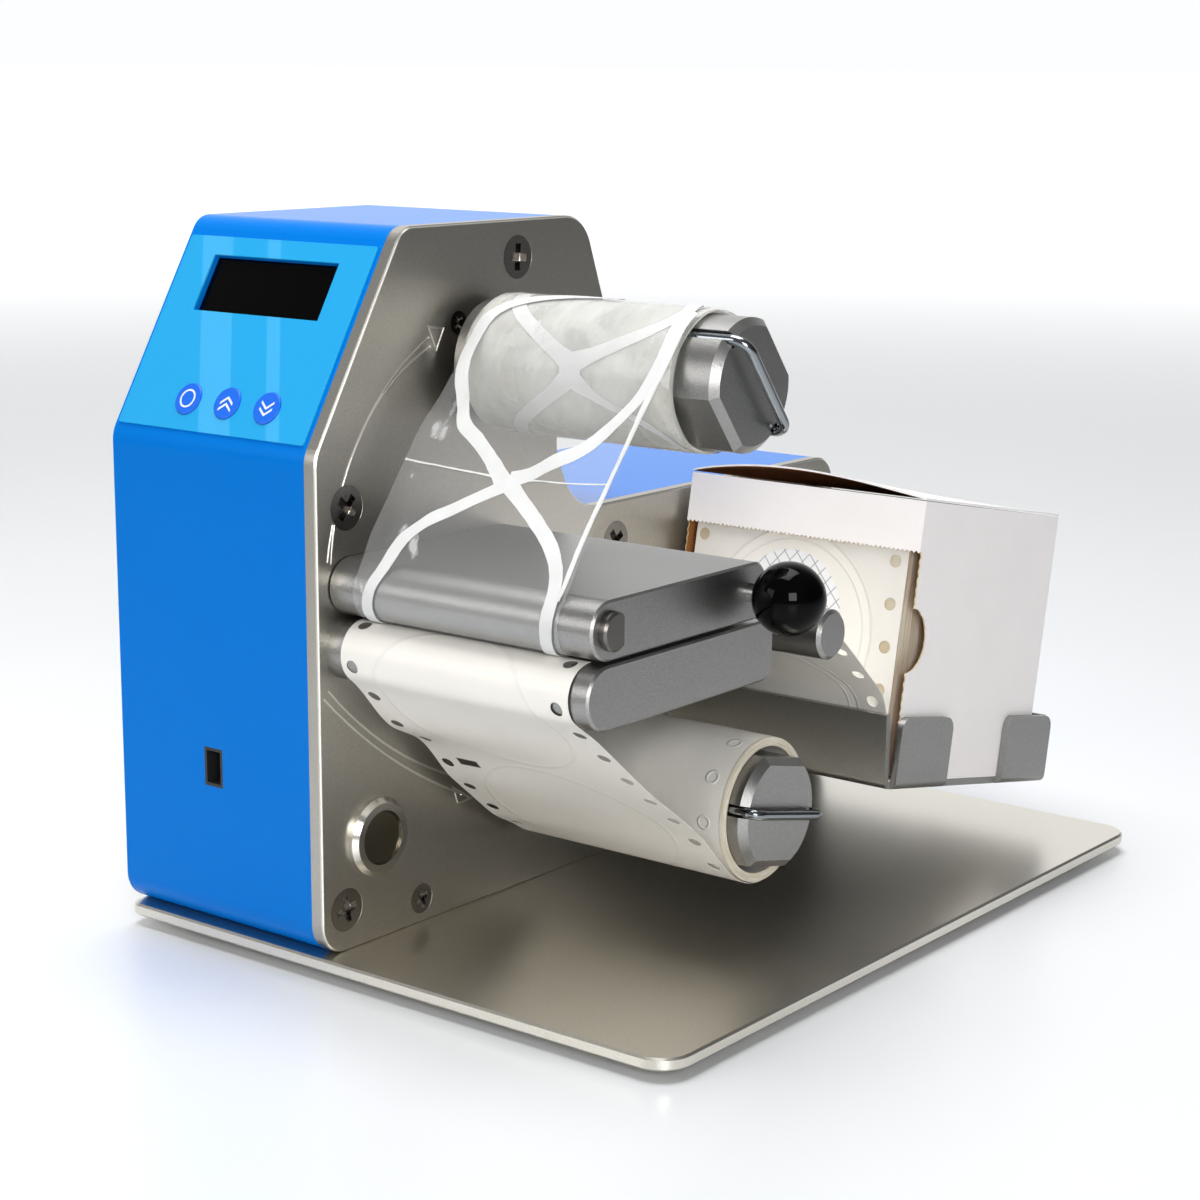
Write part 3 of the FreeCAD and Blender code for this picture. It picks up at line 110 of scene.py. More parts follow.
LINER_RADIUS = (LINER_HIGH.y - LINER_LOW.y) / 2
KNOB_LOW, KNOB_HIGH = box_in_millimetres("ball_knob")
PANEL_SLOPE = math.atan2(57.8, 34.3)
TRAY_TILT = math.radians(11.0)
TRAY_CORNER = (144.9, 30.7)


# ---- sizes and colours that a user would change -------------------------------------------------
class RewinderColours(bpy.types.PropertyGroup):
    """Colours of the painted, plated and printed surfaces."""

    cover: FloatVectorProperty(
        name="Cover", description="Powder coat of the wrap-around cover", subtype="COLOR", size=4,
        default=(0.0, 0.175, 0.64, 1.0), min=0.0, max=1.0)
    membrane: FloatVectorProperty(
        name="Membrane", description="Light blue film of the control panel", subtype="COLOR",
        size=4, default=(0.004, 0.34, 0.70, 1.0), min=0.0, max=1.0)
    keys: FloatVectorProperty(
        name="Keys", description="Deep blue film of the keys", subtype="COLOR", size=4,
        default=(0.003, 0.13, 0.72, 1.0), min=0.0, max=1.0)
    anodise: FloatVectorProperty(
        name="Anodised plate", description="Blasted and anodised side plate and base",
        subtype="COLOR", size=4, default=(0.45, 0.43, 0.385, 1.0), min=0.0, max=1.0)
    machined: FloatVectorProperty(
        name="Machined aluminium", description="Guide plates, spindles and rod", subtype="COLOR",
        size=4, default=(0.34, 0.335, 0.325, 1.0), min=0.0, max=1.0)
    paper: FloatVectorProperty(
        name="Liner paper", description="Glazed backing paper", subtype="COLOR", size=4,
        default=(0.88, 0.85, 0.79, 1.0), min=0.0, max=1.0)
    card: FloatVectorProperty(
        name="Carton card", description="Coated outside of the carton", subtype="COLOR", size=4,
        default=(0.93, 0.895, 0.885, 1.0), min=0.0, max=1.0)


class RewinderStage(bpy.types.PropertyGroup):
    """Camera and light."""

    focal_length: FloatProperty(
        name="Focal length", description="Lens of the camera", default=75.68, min=20.0, max=200.0)
    heading: FloatProperty(
        name="Heading", description="Turn of the view about the vertical", subtype="ANGLE",
        unit="ROTATION", default=math.radians(37.89))
    pitch: FloatProperty(
        name="Pitch", description="Downward tilt of the view", subtype="ANGLE", unit="ROTATION",
        default=math.radians(12.03))
    roll: FloatProperty(
        name="Roll", description="Turn of the frame about the view", subtype="ANGLE",
        unit="ROTATION", default=math.radians(0.37))
    key_power: FloatProperty(
        name="Key light", description="Power of the overhead soft light", unit="POWER",
        default=5.4, min=0.0)
    fill_power: FloatProperty(
        name="Fill light", description="Power of the front soft light", unit="POWER",
        default=10.0, min=0.0)
    studio_dim: FloatProperty(
        name="Dim side", description="Brightness of the studio behind the camera", default=0.18,
        min=0.0)
    floor_glow: FloatProperty(
        name="Floor glow", description="Light of the floor far from the object", default=0.66,
        min=0.0)
    studio_bright: FloatProperty(
        name="Bright side", description="Brightness of the backdrop", default=1.0, min=0.0)


# ---- node trees --------------------------------------------------------------------------------
SOCKETS = {"colour": "Base Color", "rough": "Roughness", "metal": "Metallic", "alpha": "Alpha",
           "shine": "Specular IOR Level", "brushed": "Anisotropic", "coat": "Coat Weight",
           "coat_ior": "Coat IOR", "coat_rough": "Coat Roughness", "glow": "Emission Strength",
           "glow_colour": "Emission Color"}
WEB_LEFT, WEB_RIGHT = 5.5, 81.5
HOLE_PITCH, HOLE_RADIUS = 12.7, 1.9
SHEET_ANGLE = 80.0         # above this angle the edge of a sheet stays sharp


def new_material(name):
    """A material with one principled shader, and its tree."""
    material = bpy.data.materials.new(name)
    material.use_nodes = True
    return material, material.node_tree


def join_up(tree, value, socket):
    """Links a value to a socket, or sets the socket where the value is a constant."""
    if hasattr(value, "is_linked"):
        tree.links.new(value, socket)
    else:
        socket.default_value = value


def add_node(tree, kind, joins=(), **settings):
    """A node with its settings, and its sockets joined up."""
    node = tree.nodes.new(kind)
    for key, value in settings.items():
        setattr(node, key, value)
    for key, value in joins:
        join_up(tree, value, node.inputs[key])
    return node


def finish(material, relief, **sockets):
    """Joins up the shader; relief is a height, its distance and, if not one, its strength."""
    tree = material.node_tree
    shader = tree.nodes["Principled BSDF"]
    for key, value in sockets.items():
        join_up(tree, value, shader.inputs[SOCKETS[key]])
    if relief:
        bump = add_node(tree, "ShaderNodeBump",
                        zip(("Height", "Distance", "Strength"), (*relief, 1.0)))
        tree.links.new(bump.outputs["Normal"], shader.inputs["Normal"])
    return material


def object_coordinates(tree):
    """The piece's own coordinates, in metres."""
    return add_node(tree, "ShaderNodeTexCoord").outputs["Object"]


def noise_on(tree, vector, scale, detail=2.0, roughness=0.5):
    """A noise value over a vector."""
    return add_node(tree, "ShaderNodeTexNoise", (
        ("Vector", vector), ("Scale", scale), ("Detail", detail),
        ("Roughness", roughness))).outputs["Fac"]


def mapped(tree, vector, scale=(1.0, 1.0, 1.0), location=(0.0, 0.0, 0.0), rotation=(0.0, 0.0, 0.0)):
    """A vector moved, turned and scaled."""
    return add_node(tree, "ShaderNodeMapping", (
        ("Vector", vector), ("Location", location), ("Rotation", rotation),
        ("Scale", scale))).outputs["Vector"]


def ramp_between(tree, value, low, high, from_value=0.0, to_value=1.0):
    """A value remapped from one range to another, held at its ends."""
    return add_node(tree, "ShaderNodeMapRange", (
        ("Value", value), ("From Min", low), ("From Max", high), ("To Min", from_value),
        ("To Max", to_value))).outputs["Result"]


def spread(tree, value, from_value=0.0, to_value=1.0):
    """A noise value, most of which is near a half, spread over a range."""
    return ramp_between(tree, value, 0.3, 0.7, from_value, to_value)


def sum_of(tree, operation, first, second=0.0):
    """Two values or numbers joined by a maths operation."""
    return add_node(tree, "ShaderNodeMath", ((0, first), (1, second)),
                    operation=operation).outputs["Value"]


def most_of(tree, values):
    """The greatest of several values."""
    most = values[0]
    for value in values[1:]:
        most = sum_of(tree, "MAXIMUM", most, value)
    return most


def colour_between(tree, factor, first, second):
    """A mix of two colours by a factor."""
    return add_node(tree, "ShaderNodeMix", ((0, factor), (6, first), (7, second)),
                    data_type="RGBA").outputs[2]


def shade(colour, factor):
    """A colour made darker or lighter."""
    return tuple(min(channel * factor, 1.0) for channel in colour[:3]) + (1.0,)


def two_tone(tree, factor, colour, dark, light):
    """A colour between a darker and a lighter shade of itself."""
    return colour_between(tree, factor, shade(colour, dark), shade(colour, light))


def parts_of(tree, vector):
    """The X, Y and Z of a vector."""
    return add_node(tree, "ShaderNodeSeparateXYZ", (("Vector", vector),)).outputs


def distance_to(tree, vector, centre):
    """How far a vector is from a centre."""
    return add_node(tree, "ShaderNodeVectorMath", ((0, vector), (1, centre)),
                    operation="DISTANCE").outputs["Value"]


def within(tree, value, edge, softness):
    """One where a value is under an edge, nought above it."""
    return ramp_between(tree, value, edge - softness, edge + softness, 1.0, 0.0)


def band(tree, value, middle, half, softness):
    """One where a value is within half a width of a middle."""
    away = sum_of(tree, "ABSOLUTE", sum_of(tree, "SUBTRACT", value, middle))
    return within(tree, away, half, softness)


def repeated(tree, value, pitch):
    """Distance from the nearest multiple of a pitch."""
    return sum_of(tree, "PINGPONG", value, pitch / 2)


def own_pattern(tree):
    """The flat sheet's own coordinates, a tenth of a metre to one."""
    return add_node(tree, "ShaderNodeTexCoord").outputs["UV"]


def in_own_frame(tree):
    """Object coordinates in millimetres from the machine's corner."""
    return mapped(tree, object_coordinates(tree), scale=(1 / MM,) * 3, location=-CORNER / MM)


def off_axis(tree, parts):
    """How far a point is from the X line through nought."""
    squares = [sum_of(tree, "MULTIPLY", parts[key], parts[key]) for key in "YZ"]
    return sum_of(tree, "SQRT", sum_of(tree, "ADD", *squares))


def round_axis(tree, centre):
    """X, angle and radius, in millimetres, round an X line through a centre."""
    parts = parts_of(tree, mapped(tree, in_own_frame(tree),
                                  location=(0.0, -centre[0], -centre[1])))
    return parts["X"], sum_of(tree, "ARCTAN2", parts["Z"], parts["Y"]), off_axis(tree, parts)


def vector_of(tree, x, y):
    """A vector of two values."""
    return add_node(tree, "ShaderNodeCombineXYZ", (("X", x), ("Y", y))).outputs["Vector"]


def flat_pattern(piece):
    """Writes a flat sheet's X and length as its own coordinates."""
    layer = piece.data.uv_layers.active or piece.data.uv_layers.new(name="flat")
    for loop in piece.data.loops:
        where = piece.data.vertices[loop.vertex_index].co
        layer.data[loop.index].uv = (where.x / 100.0, where.y / 100.0)


# ---- finishes ----------------------------------------------------------------------------------
def blasted_metal(name, colour, roughness, grain, relief):
    """Bead-blasted and anodised metal: a fine even grain that glints."""
    material, tree = new_material(name)
    where = object_coordinates(tree)
    fine = noise_on(tree, where, grain, 1.0)
    broad = noise_on(tree, where, 18.0, 3.0)
    return finish(material, (fine, relief), metal=1.0,
                  colour=two_tone(tree, ramp_between(tree, fine, 0.25, 0.75), colour, 0.90, 1.10),
                  rough=spread(tree, broad, roughness - 0.012, roughness + 0.012))


def bright_metal(name, colour, roughness, streak_scale):
    """Turned or plated metal with faint tool marks along its length."""
    material, tree = new_material(name)
    where = object_coordinates(tree)
    streaks = noise_on(tree, mapped(tree, where, scale=streak_scale), 1.0)
    smudge = noise_on(tree, where, 60.0, 3.0)
    return finish(material, (streaks, 0.00001), metal=1.0,
                  colour=two_tone(tree, smudge, colour, 0.85, 1.1),
                  rough=spread(tree, smudge, roughness * 0.8, roughness * 1.3))


def spun_metal(name, colour, roughness, centre):
    """Metal brushed in rings round an X line."""
    material, tree = new_material(name)
    parts = parts_of(tree, mapped(tree, object_coordinates(tree), location=-centre))
    lines = noise_on(tree, vector_of(tree, off_axis(tree, parts), 0.0), 4200.0)
    return finish(material, (lines, 0.00002), metal=1.0, rough=roughness, brushed=0.5,
                  colour=two_tone(tree, spread(tree, lines), colour, 0.8, 1.15))


def powder_coat(name, colour):
    """Satin powder coat with a faint orange peel."""
    material, tree = new_material(name)
    where = object_coordinates(tree)
    peel = noise_on(tree, where, 900.0)
    return finish(material, (peel, 0.00003), shine=0.0, coat=1.0, coat_ior=1.16, coat_rough=0.22,
                  colour=two_tone(tree, noise_on(tree, where, 9.0), colour, 0.97, 1.03),
                  rough=ramp_between(tree, peel, 0.2, 0.8, 0.36, 0.44))


def moulded(name, colour, roughness):
    """Moulded plastic or rubber with a fine texture."""
    material, tree = new_material(name)
    fine = noise_on(tree, object_coordinates(tree), 2500.0)
    return finish(material, (fine, 0.00001), colour=two_tone(tree, fine, colour, 0.85, 1.15),
                  rough=spread(tree, fine, roughness * 0.9, roughness * 1.1))


def glossy_black(name):
    """Deep black gloss with a little dust."""
    material, tree = new_material(name)
    dust = noise_on(tree, object_coordinates(tree), 1400.0)
    return finish(material, None, colour=(0.001, 0.001, 0.001, 1.0), shine=0.10,
                  rough=ramp_between(tree, dust, 0.55, 0.8, 0.05, 0.12))


def coated_card(name, colour):
    """Card with a light coat, faint fibres and clouding."""
    material, tree = new_material(name)
    where = object_coordinates(tree)
    fibres = noise_on(tree, mapped(tree, where, scale=(1.0, 0.35, 1.0)), 2600.0, 3.0)
    clouds = noise_on(tree, where, 70.0, 3.0)
    return finish(material, (fibres, 0.00001), coat=0.1, coat_rough=0.25,
                  colour=two_tone(tree, clouds, colour, 0.96, 1.03),
                  rough=spread(tree, fibres, 0.51, 0.59))


def engraved_plate(name, colour):
    """Champagne anodise, with the floors of the engraved lines bare and bright; the same lighter
    band also paints a highlight along the plate's edges.
    """
    material = blasted_metal(name, colour, 0.36, 2600.0, 0.00004)
    tree = material.node_tree
    # A lighter band just under the plate's face: the bare floors of the engraved lines, and a
    # painted highlight along the plate's edges, which pass through the same depth.
    floor = band(tree, parts_of(tree, in_own_frame(tree))["X"], -0.2, 0.13, 0.02)
    before = tree.nodes["Principled BSDF"].inputs["Base Color"].links[0].from_socket
    return finish(material, None,
                  colour=colour_between(tree, floor, before, (0.80, 0.78, 0.74, 1.0)))


def clear_film(name):
    """Clear glossy film; on its left part the creases carry whiter, less clear patches, a painted
    reflection.
    """
    material, tree = new_material(name)
    flat = own_pattern(tree)
    creases = noise_on(tree, mapped(tree, flat, scale=(9.0, 5.0, 1.0)), 1.0, 4.0, 0.6)
    streaks = noise_on(tree, mapped(tree, flat, scale=(22.0, 4.0, 1.0), rotation=(0, 0, 0.5)), 1.0,
                       3.0)
    # Whiter patches over the creases on the film's left part, where alpha rises: a painted
    # reflection.
    side = within(tree, parts_of(tree, flat)["X"], 0.34, 0.05)
    painted_reflection_patches = sum_of(tree, "MULTIPLY", ramp_between(tree, creases, 0.60, 0.66), side)
    return finish(material, (sum_of(tree, "ADD", creases, streaks), 0.0015, 0.6),
                  colour=(0.80, 0.80, 0.79, 1.0), rough=0.09, shine=0.9,
                  alpha=ramp_between(tree, painted_reflection_patches, 0.0, 1.0, 0.09, 0.42))


def milky_film(name, alpha):
    """Clouded wrapped film."""
    material, tree = new_material(name)
    clouds = noise_on(tree, mapped(tree, object_coordinates(tree), scale=(1.0, 0.5, 0.5)), 110.0,
                      4.0)
    return finish(material, (clouds, 0.0008, 0.5), rough=0.16, shine=0.7,
                  colour=colour_between(tree, clouds, (0.70, 0.69, 0.64, 1.0),
                                        (0.86, 0.86, 0.83, 1.0)),
                  alpha=ramp_between(tree, clouds, 0.35, 0.65, alpha * 0.5, alpha))


def lattice_white(name):
    """Waste label face, matt white with a fibre grain."""
    material, tree = new_material(name)
    where = object_coordinates(tree)
    fibres = noise_on(tree, where, 1500.0, 3.0)
    return finish(material, (fibres, 0.00008), alpha=0.93, rough=spread(tree, fibres, 0.42, 0.58),
                  colour=colour_between(tree, noise_on(tree, where, 120.0),
                                        (0.66, 0.67, 0.66, 1.0), (0.82, 0.82, 0.81, 1.0)))


def wound_film(name):
    """Layers of film with strips of many turns showing through each other, and a painted shadow
    patch on the middle of the roll's upper front.
    """
    material, tree = new_material(name)
    x, angle, _ = round_axis(tree, UPPER_AXIS.yz)
    flat = vector_of(tree, x, sum_of(tree, "MULTIPLY", angle, FILM_RADIUS))
    strips = most_of(tree, [band(tree, distance_to(tree, flat, (*centre, 0.0)), 27.0, 1.7, 0.4)
                            for centre in ((22.0, 24.0), (70.0, 30.0), (40.0, 71.0), (58.0, 6.0),
                                           (12.0, 52.0), (82.0, 62.0), (34.0, -16.0))])
    # A darker patch over the middle of the roll's upper front: a painted shadow.
    shadow_patch = sum_of(tree, "MULTIPLY", band(tree, x, 42.0, 21.0, 6.0),
                  band(tree, angle, 2.5, 0.62, 0.35))
    clouds = noise_on(tree, mapped(tree, flat, scale=(0.10, 0.16, 1.0)), 1.0, 4.0)
    milk = colour_between(tree, spread(tree, clouds), (0.70, 0.685, 0.60, 1.0),
                          (0.86, 0.85, 0.80, 1.0))
    shadow = colour_between(tree, shadow_patch, milk, (0.40, 0.39, 0.37, 1.0))
    return finish(material, (sum_of(tree, "ADD", clouds, strips), 0.0004, 0.6), coat=0.5,
                  coat_rough=0.15, rough=spread(tree, clouds, 0.24, 0.42),
                  colour=colour_between(tree, strips, shadow, (0.86, 0.86, 0.82, 1.0)))


def wound_liner(name, colour):
    """Glazed paper wound in turns: layer edges on the ends, hole marks showing through."""
    material, tree = new_material(name)
    x, angle, radius = round_axis(tree, LOWER_AXIS.yz)
    along = sum_of(tree, "MULTIPLY", angle, LINER_RADIUS)
    marks = vector_of(tree, sum_of(tree, "SUBTRACT", x, LINER_HIGH.x - 4.5),
                      repeated(tree, along, HOLE_PITCH))
    ring = band(tree, distance_to(tree, marks, (0.0, 0.0, 0.0)), 1.75, 0.3, 0.2)
    layers = noise_on(tree, vector_of(tree, radius, sum_of(tree, "MULTIPLY", angle, 0.35)), 7.0)
    end = most_of(tree, (band(tree, x, LINER_HIGH.x + 1.2, 0.7, 0.1),
                         band(tree, x, LINER_LOW.x, 0.15, 0.1)))
    clouds = noise_on(tree, mapped(tree, in_own_frame(tree), scale=(0.06, 0.03, 0.03)), 1.0, 4.0)
    face = two_tone(tree, spread(tree, clouds), colour, 0.86, 1.02)
    edge = colour_between(tree, spread(tree, layers), (0.70, 0.60, 0.40, 1.0),
                          (0.90, 0.87, 0.80, 1.0))
    height = sum_of(tree, "ADD", sum_of(tree, "MULTIPLY", layers, end),
                    sum_of(tree, "ADD", ring, clouds))
    return finish(material, (height, 0.00025), colour=colour_between(tree, end, face, edge),
                  rough=spread(tree, clouds, 0.30, 0.42))


def printed_liner(name, colour):
    """Glazed liner with the printed index mark and faint rings left by the labels."""
    material, tree = new_material(name)
    flat = own_pattern(tree)
    parts = parts_of(tree, flat)
    mark = sum_of(tree, "MULTIPLY", band(tree, parts["X"], 0.178, 0.036, 0.002),
                  band(tree, parts["Y"], 0.645, 0.016, 0.002))
    rings = most_of(tree, [band(tree, distance_to(tree, flat, (0.43, centre, 0.0)), 0.285, 0.004,
                                0.006) for centre in (0.28, 0.88, 1.48)])
    clouds = noise_on(tree, mapped(tree, flat, scale=(6.0, 4.0, 1.0)), 1.0, 4.0)
    fibres = noise_on(tree, object_coordinates(tree), 2600.0, 3.0)
    face = two_tone(tree, clouds, colour, 0.96, 1.03)
    face = colour_between(tree, sum_of(tree, "MULTIPLY", rings, 0.25), face, shade(colour, 0.80))
    return finish(material, (sum_of(tree, "ADD", clouds, rings), 0.0003, 0.5), coat=0.2,
                  coat_rough=0.3, rough=spread(tree, fibres, 0.34, 0.44),
                  colour=colour_between(tree, mark, face, (0.02, 0.02, 0.02, 1.0)))


def label_face(name, colour, hatched):
    """Face of the label web: round labels, and the hatched disc printed on one."""
    material, tree = new_material(name)
    flat = own_pattern(tree)
    rings, labels = [], []
    for centre in ((0.42,) if hatched else (0.30, 0.93, 1.56)):
        away = distance_to(tree, flat, (0.43, centre, 0.0))
        rings += [band(tree, away, 0.292, 0.003, 0.003), band(tree, away, 0.262, 0.002, 0.003)]
        labels.append(within(tree, away, 0.292, 0.003))
    rings, labels = most_of(tree, rings), most_of(tree, labels)
    clouds = noise_on(tree, mapped(tree, flat, scale=(7.0, 5.0, 1.0)), 1.0, 4.0)
    face = two_tone(tree, clouds, colour, 0.86, 0.98)
    face = colour_between(tree, sum_of(tree, "MULTIPLY", labels, 0.5), face, shade(colour, 1.06))
    face = colour_between(tree, sum_of(tree, "MULTIPLY", rings, 0.5), face, shade(colour, 0.74))
    if hatched:
        disc = within(tree, distance_to(tree, flat, (0.42, 0.465, 0.0)), 0.187, 0.002)
        lines = []
        for lean in (0.72, -0.72):
            turned = parts_of(tree, mapped(tree, flat, rotation=(0.0, 0.0, lean)))["X"]
            lines.append(within(tree, repeated(tree, turned, 0.034), 0.0012, 0.0012))
        face = colour_between(tree, disc, face, (0.88, 0.88, 0.88, 1.0))
        face = colour_between(tree, sum_of(tree, "MULTIPLY", disc, most_of(tree, lines)), face,
                              (0.22, 0.24, 0.28, 1.0))
    return finish(material, (sum_of(tree, "ADD", clouds, rings), 0.0003, 0.6), colour=face,
                  rough=spread(tree, clouds, 0.3, 0.45))


def fan_folds(name, colour):
    """Edges of the folded sheets, standing across the carton."""
    material, tree = new_material(name)
    where = mapped(tree, object_coordinates(tree), rotation=(TRAY_TILT, 0.0, 0.0))
    depth = mapped(tree, where, scale=(0.02, 1.0, 0.02))
    lines = noise_on(tree, depth, 2400.0)
    tone = sum_of(tree, "MULTIPLY", spread(tree, lines),
                  ramp_between(tree, noise_on(tree, depth, 420.0), 0.25, 0.7, 0.35, 1.0))
    return finish(material, (lines, 0.0002), rough=0.6,
                  colour=colour_between(tree, tone, (0.55, 0.44, 0.27, 1.0), shade(colour, 1.05)))


def kraft(name, colour):
    """Uncoated board with flecks."""
    material, tree = new_material(name)
    flecks = noise_on(tree, mapped(tree, object_coordinates(tree), scale=(1.0, 0.4, 1.0)), 1600.0,
                      3.0)
    return finish(material, (flecks, 0.00006), rough=0.85, colour=two_tone(
        tree, ramp_between(tree, flecks, 0.35, 0.65), colour, 0.8, 1.15))


def panel_film(name, colour):
    """Textured polyester film with paler slanted bands."""
    material, tree = new_material(name)
    parts = parts_of(tree, in_own_frame(tree))
    slant = sum_of(tree, "ADD", parts["X"], sum_of(tree, "MULTIPLY", parts["Z"], 0.55))
    pale = most_of(tree, (band(tree, slant, 38.0, 6.0, 0.3), band(tree, slant, 60.0, 2.5, 0.3)))
    grain = noise_on(tree, object_coordinates(tree), 3000.0)
    return finish(material, (grain, 0.00001), rough=spread(tree, grain, 0.3, 0.38),
                  colour=colour_between(tree, sum_of(tree, "MULTIPLY", pale, 0.35),
                                        shade(colour, 1.0), (0.10, 0.50, 0.86, 1.0)))


def give(material, *nodes):
    """Puts one material on nodes of the frame."""
    for node in nodes:
        item = frame["nodes"][node]
        item.data.materials.clear()
        item.data.materials.append(material)


def new_stage_object(name, mesh):
    """An object for the stage, linked to the scene."""
    item = bpy.data.objects.new(name, mesh)
    bpy.context.scene.collection.objects.link(item)
    return item


def soft_light(name, place, target, size, power, spread=180.0):
    """A square area light that faces a target."""
    lamp = bpy.data.lights.new(name, "AREA")
    lamp.shape = "RECTANGLE"
    lamp.size = size[0]
    lamp.size_y = size[1]
    lamp.energy = power
    lamp.spread = math.radians(spread)
    item = new_stage_object(name, lamp)
    item.location = place
    item.rotation_euler = (Vector(target) - Vector(place)).to_track_quat("-Z", "Y").to_euler()
    return item


# ---- modelling ---------------------------------------------------------------------------------
def nothing_selected():
    """Leaves every object deselected."""
    if bpy.context.object and bpy.context.object.mode != "OBJECT":
        bpy.ops.object.mode_set(mode="OBJECT")
    bpy.ops.object.select_all(action="DESELECT")


def pick(piece):
    """Makes one object the active and only selected one."""
    nothing_selected()
    piece.select_set(True)
    bpy.context.view_layer.objects.active = piece


def named(piece, name):
    """Names an object and its mesh."""
    piece.name = name
    piece.data.name = name
    return piece


def skin(name, rows, closed=False, ends=False):
    """A skin drawn out of a first row of points, row by row, by extrusion."""
    count = len(rows[0])
    nothing_selected()
    bpy.ops.mesh.primitive_circle_add(vertices=count, radius=1.0, fill_type="NOTHING")
    piece = named(bpy.context.active_object, name)
    bpy.ops.object.mode_set(mode="EDIT")
    mesh = bmesh.from_edit_mesh(piece.data)
    column = mesh.verts.layers.int.new("column")
    mesh.verts.ensure_lookup_table()
    for index, vert in enumerate(mesh.verts):
        vert[column] = index
        vert.co = rows[0][index]
    if not closed:
        gap = [edge for edge in mesh.edges
               if {vert[column] for vert in edge.verts} == {0, count - 1}]
        if count > 2:
            bmesh.ops.delete(mesh, geom=gap, context="EDGES")
    if ends:
        bmesh.ops.contextual_create(mesh, geom=list(mesh.edges))
    for item in list(mesh.verts) + list(mesh.edges):
        item.select = True
    mesh.select_flush_mode()
    bmesh.update_edit_mesh(piece.data)
    for row in rows[1:]:
        bpy.ops.mesh.extrude_edges_move()
        mesh = bmesh.from_edit_mesh(piece.data)
        column = mesh.verts.layers.int["column"]
        for vert in mesh.verts:
            if vert.select:
                vert.co = row[vert[column]]
        bmesh.update_edit_mesh(piece.data)
    if ends:
        bpy.ops.mesh.edge_face_add()
    bpy.ops.mesh.select_all(action="SELECT")
    bpy.ops.mesh.normals_make_consistent(inside=False)
    bpy.ops.object.mode_set(mode="OBJECT")
    return piece


def on_all_of(piece, operator, **settings):
    """Runs a mesh operator on all of a piece."""
    pick(piece)
    bpy.ops.object.mode_set(mode="EDIT")
    bpy.ops.mesh.select_all(action="SELECT")
    operator(**settings)
    bpy.ops.object.mode_set(mode="OBJECT")


def close_seams(piece):
    """Joins the first and last row of a skin that goes all the way round."""
    on_all_of(piece, bpy.ops.mesh.remove_doubles, threshold=0.000001)


def modified(piece, name, kind, **settings):
    """Gives a piece a modifier and applies it."""
    pick(piece)
    modifier = piece.modifiers.new(name, kind)
    for key, value in settings.items():
        setattr(modifier, key, value)
    bpy.ops.object.modifier_apply(modifier=name)


def thicken(piece, thickness, offset=0.0, inner=0, rim=0):
    """Gives a skin its thickness."""
    modified(piece, "wall", "SOLIDIFY", thickness=thickness, offset=offset, material_offset=inner,
             material_offset_rim=rim)


def cut_with(piece, cutter):
    """Cuts a piece with another, which is used up."""
    modified(piece, "cut", "BOOLEAN", operation="DIFFERENCE", solver="EXACT",
             material_mode="TRANSFER", object=cutter)
    bpy.data.objects.remove(cutter, do_unlink=True)


def punches(places, radius):
    """Round cutters at places on a flat sheet, one made and the others copied."""
    nothing_selected()
    bpy.ops.mesh.primitive_cylinder_add(vertices=20, radius=radius, depth=4.0,
                                        location=(places[0][0], places[0][1], 0.0))
    first = named(bpy.context.active_object, "punch")
    bpy.ops.object.mode_set(mode="EDIT")
    bpy.ops.mesh.select_all(action="SELECT")
    for (x, y), (last_x, last_y) in zip(places[1:], places):
        bpy.ops.mesh.duplicate()
        mesh = bmesh.from_edit_mesh(first.data)
        for vert in mesh.verts:
            if vert.select:
                vert.co += Vector((x - last_x, y - last_y, 0.0))
        bmesh.update_edit_mesh(first.data)
    bpy.ops.object.mode_set(mode="OBJECT")
    return first


def flat_sheet(name, start, end, length, columns, lines, holes=(), thickness=0.12):
    """A flat sheet, X across and Y along it in millimetres, with punched holes."""
    nothing_selected()
    bpy.ops.mesh.primitive_grid_add(x_subdivisions=columns, y_subdivisions=lines, size=2.0)
    sheet = named(bpy.context.active_object, name)
    for vert in sheet.data.vertices:
        vert.co = (start + (vert.co.x + 1.0) / 2 * (end - start), (vert.co.y + 1.0) / 2 * length,
                   0.0)
    thicken(sheet, thickness)
    if holes:
        cut_with(sheet, punches(holes, HOLE_RADIUS))
    flat_pattern(sheet)
    return sheet


def move_points(piece, rule):
    """Moves every point of a piece by a rule."""
    for vert in piece.data.vertices:
        vert.co = rule(vert.co)
    piece.data.update()


def settle(piece, body, material=None, nodes=(), angle=35.0):
    """Shades a finished piece, gives it its body and finish, and hides what it stands for."""
    pick(piece)
    bpy.ops.object.transform_apply(location=True, rotation=True, scale=True)
    on_all_of(piece, bpy.ops.mesh.normals_make_consistent, inside=False)
    bpy.ops.object.shade_smooth_by_angle(angle=math.radians(angle))
    if material:
        piece.data.materials.clear()
        piece.data.materials.append(material)
    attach(piece, body)
    if nodes:
        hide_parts(*nodes)
    return piece


# ---- the runs that the webs follow -------------------------------------------------------------
def on_circle(centre, radius, angle):
    """A point on a circle in the Y-Z plane."""
    return Vector((centre[0] + radius * math.cos(angle), centre[1] + radius * math.sin(angle)))


def arc_points(centre, radius, start, end, count):
    """Points along an arc, each with its outward direction."""
    points = []
    for step in range(count + 1):
        angle = start + (end - start) * step / count
        points.append((on_circle(centre, radius, angle),
                       Vector((math.cos(angle), math.sin(angle)))))
    return points


def line_points(start, end, outward, count):
    """Points along a straight run, all with one outward direction."""
    return [(start.lerp(end, step / count), outward) for step in range(1, count)]


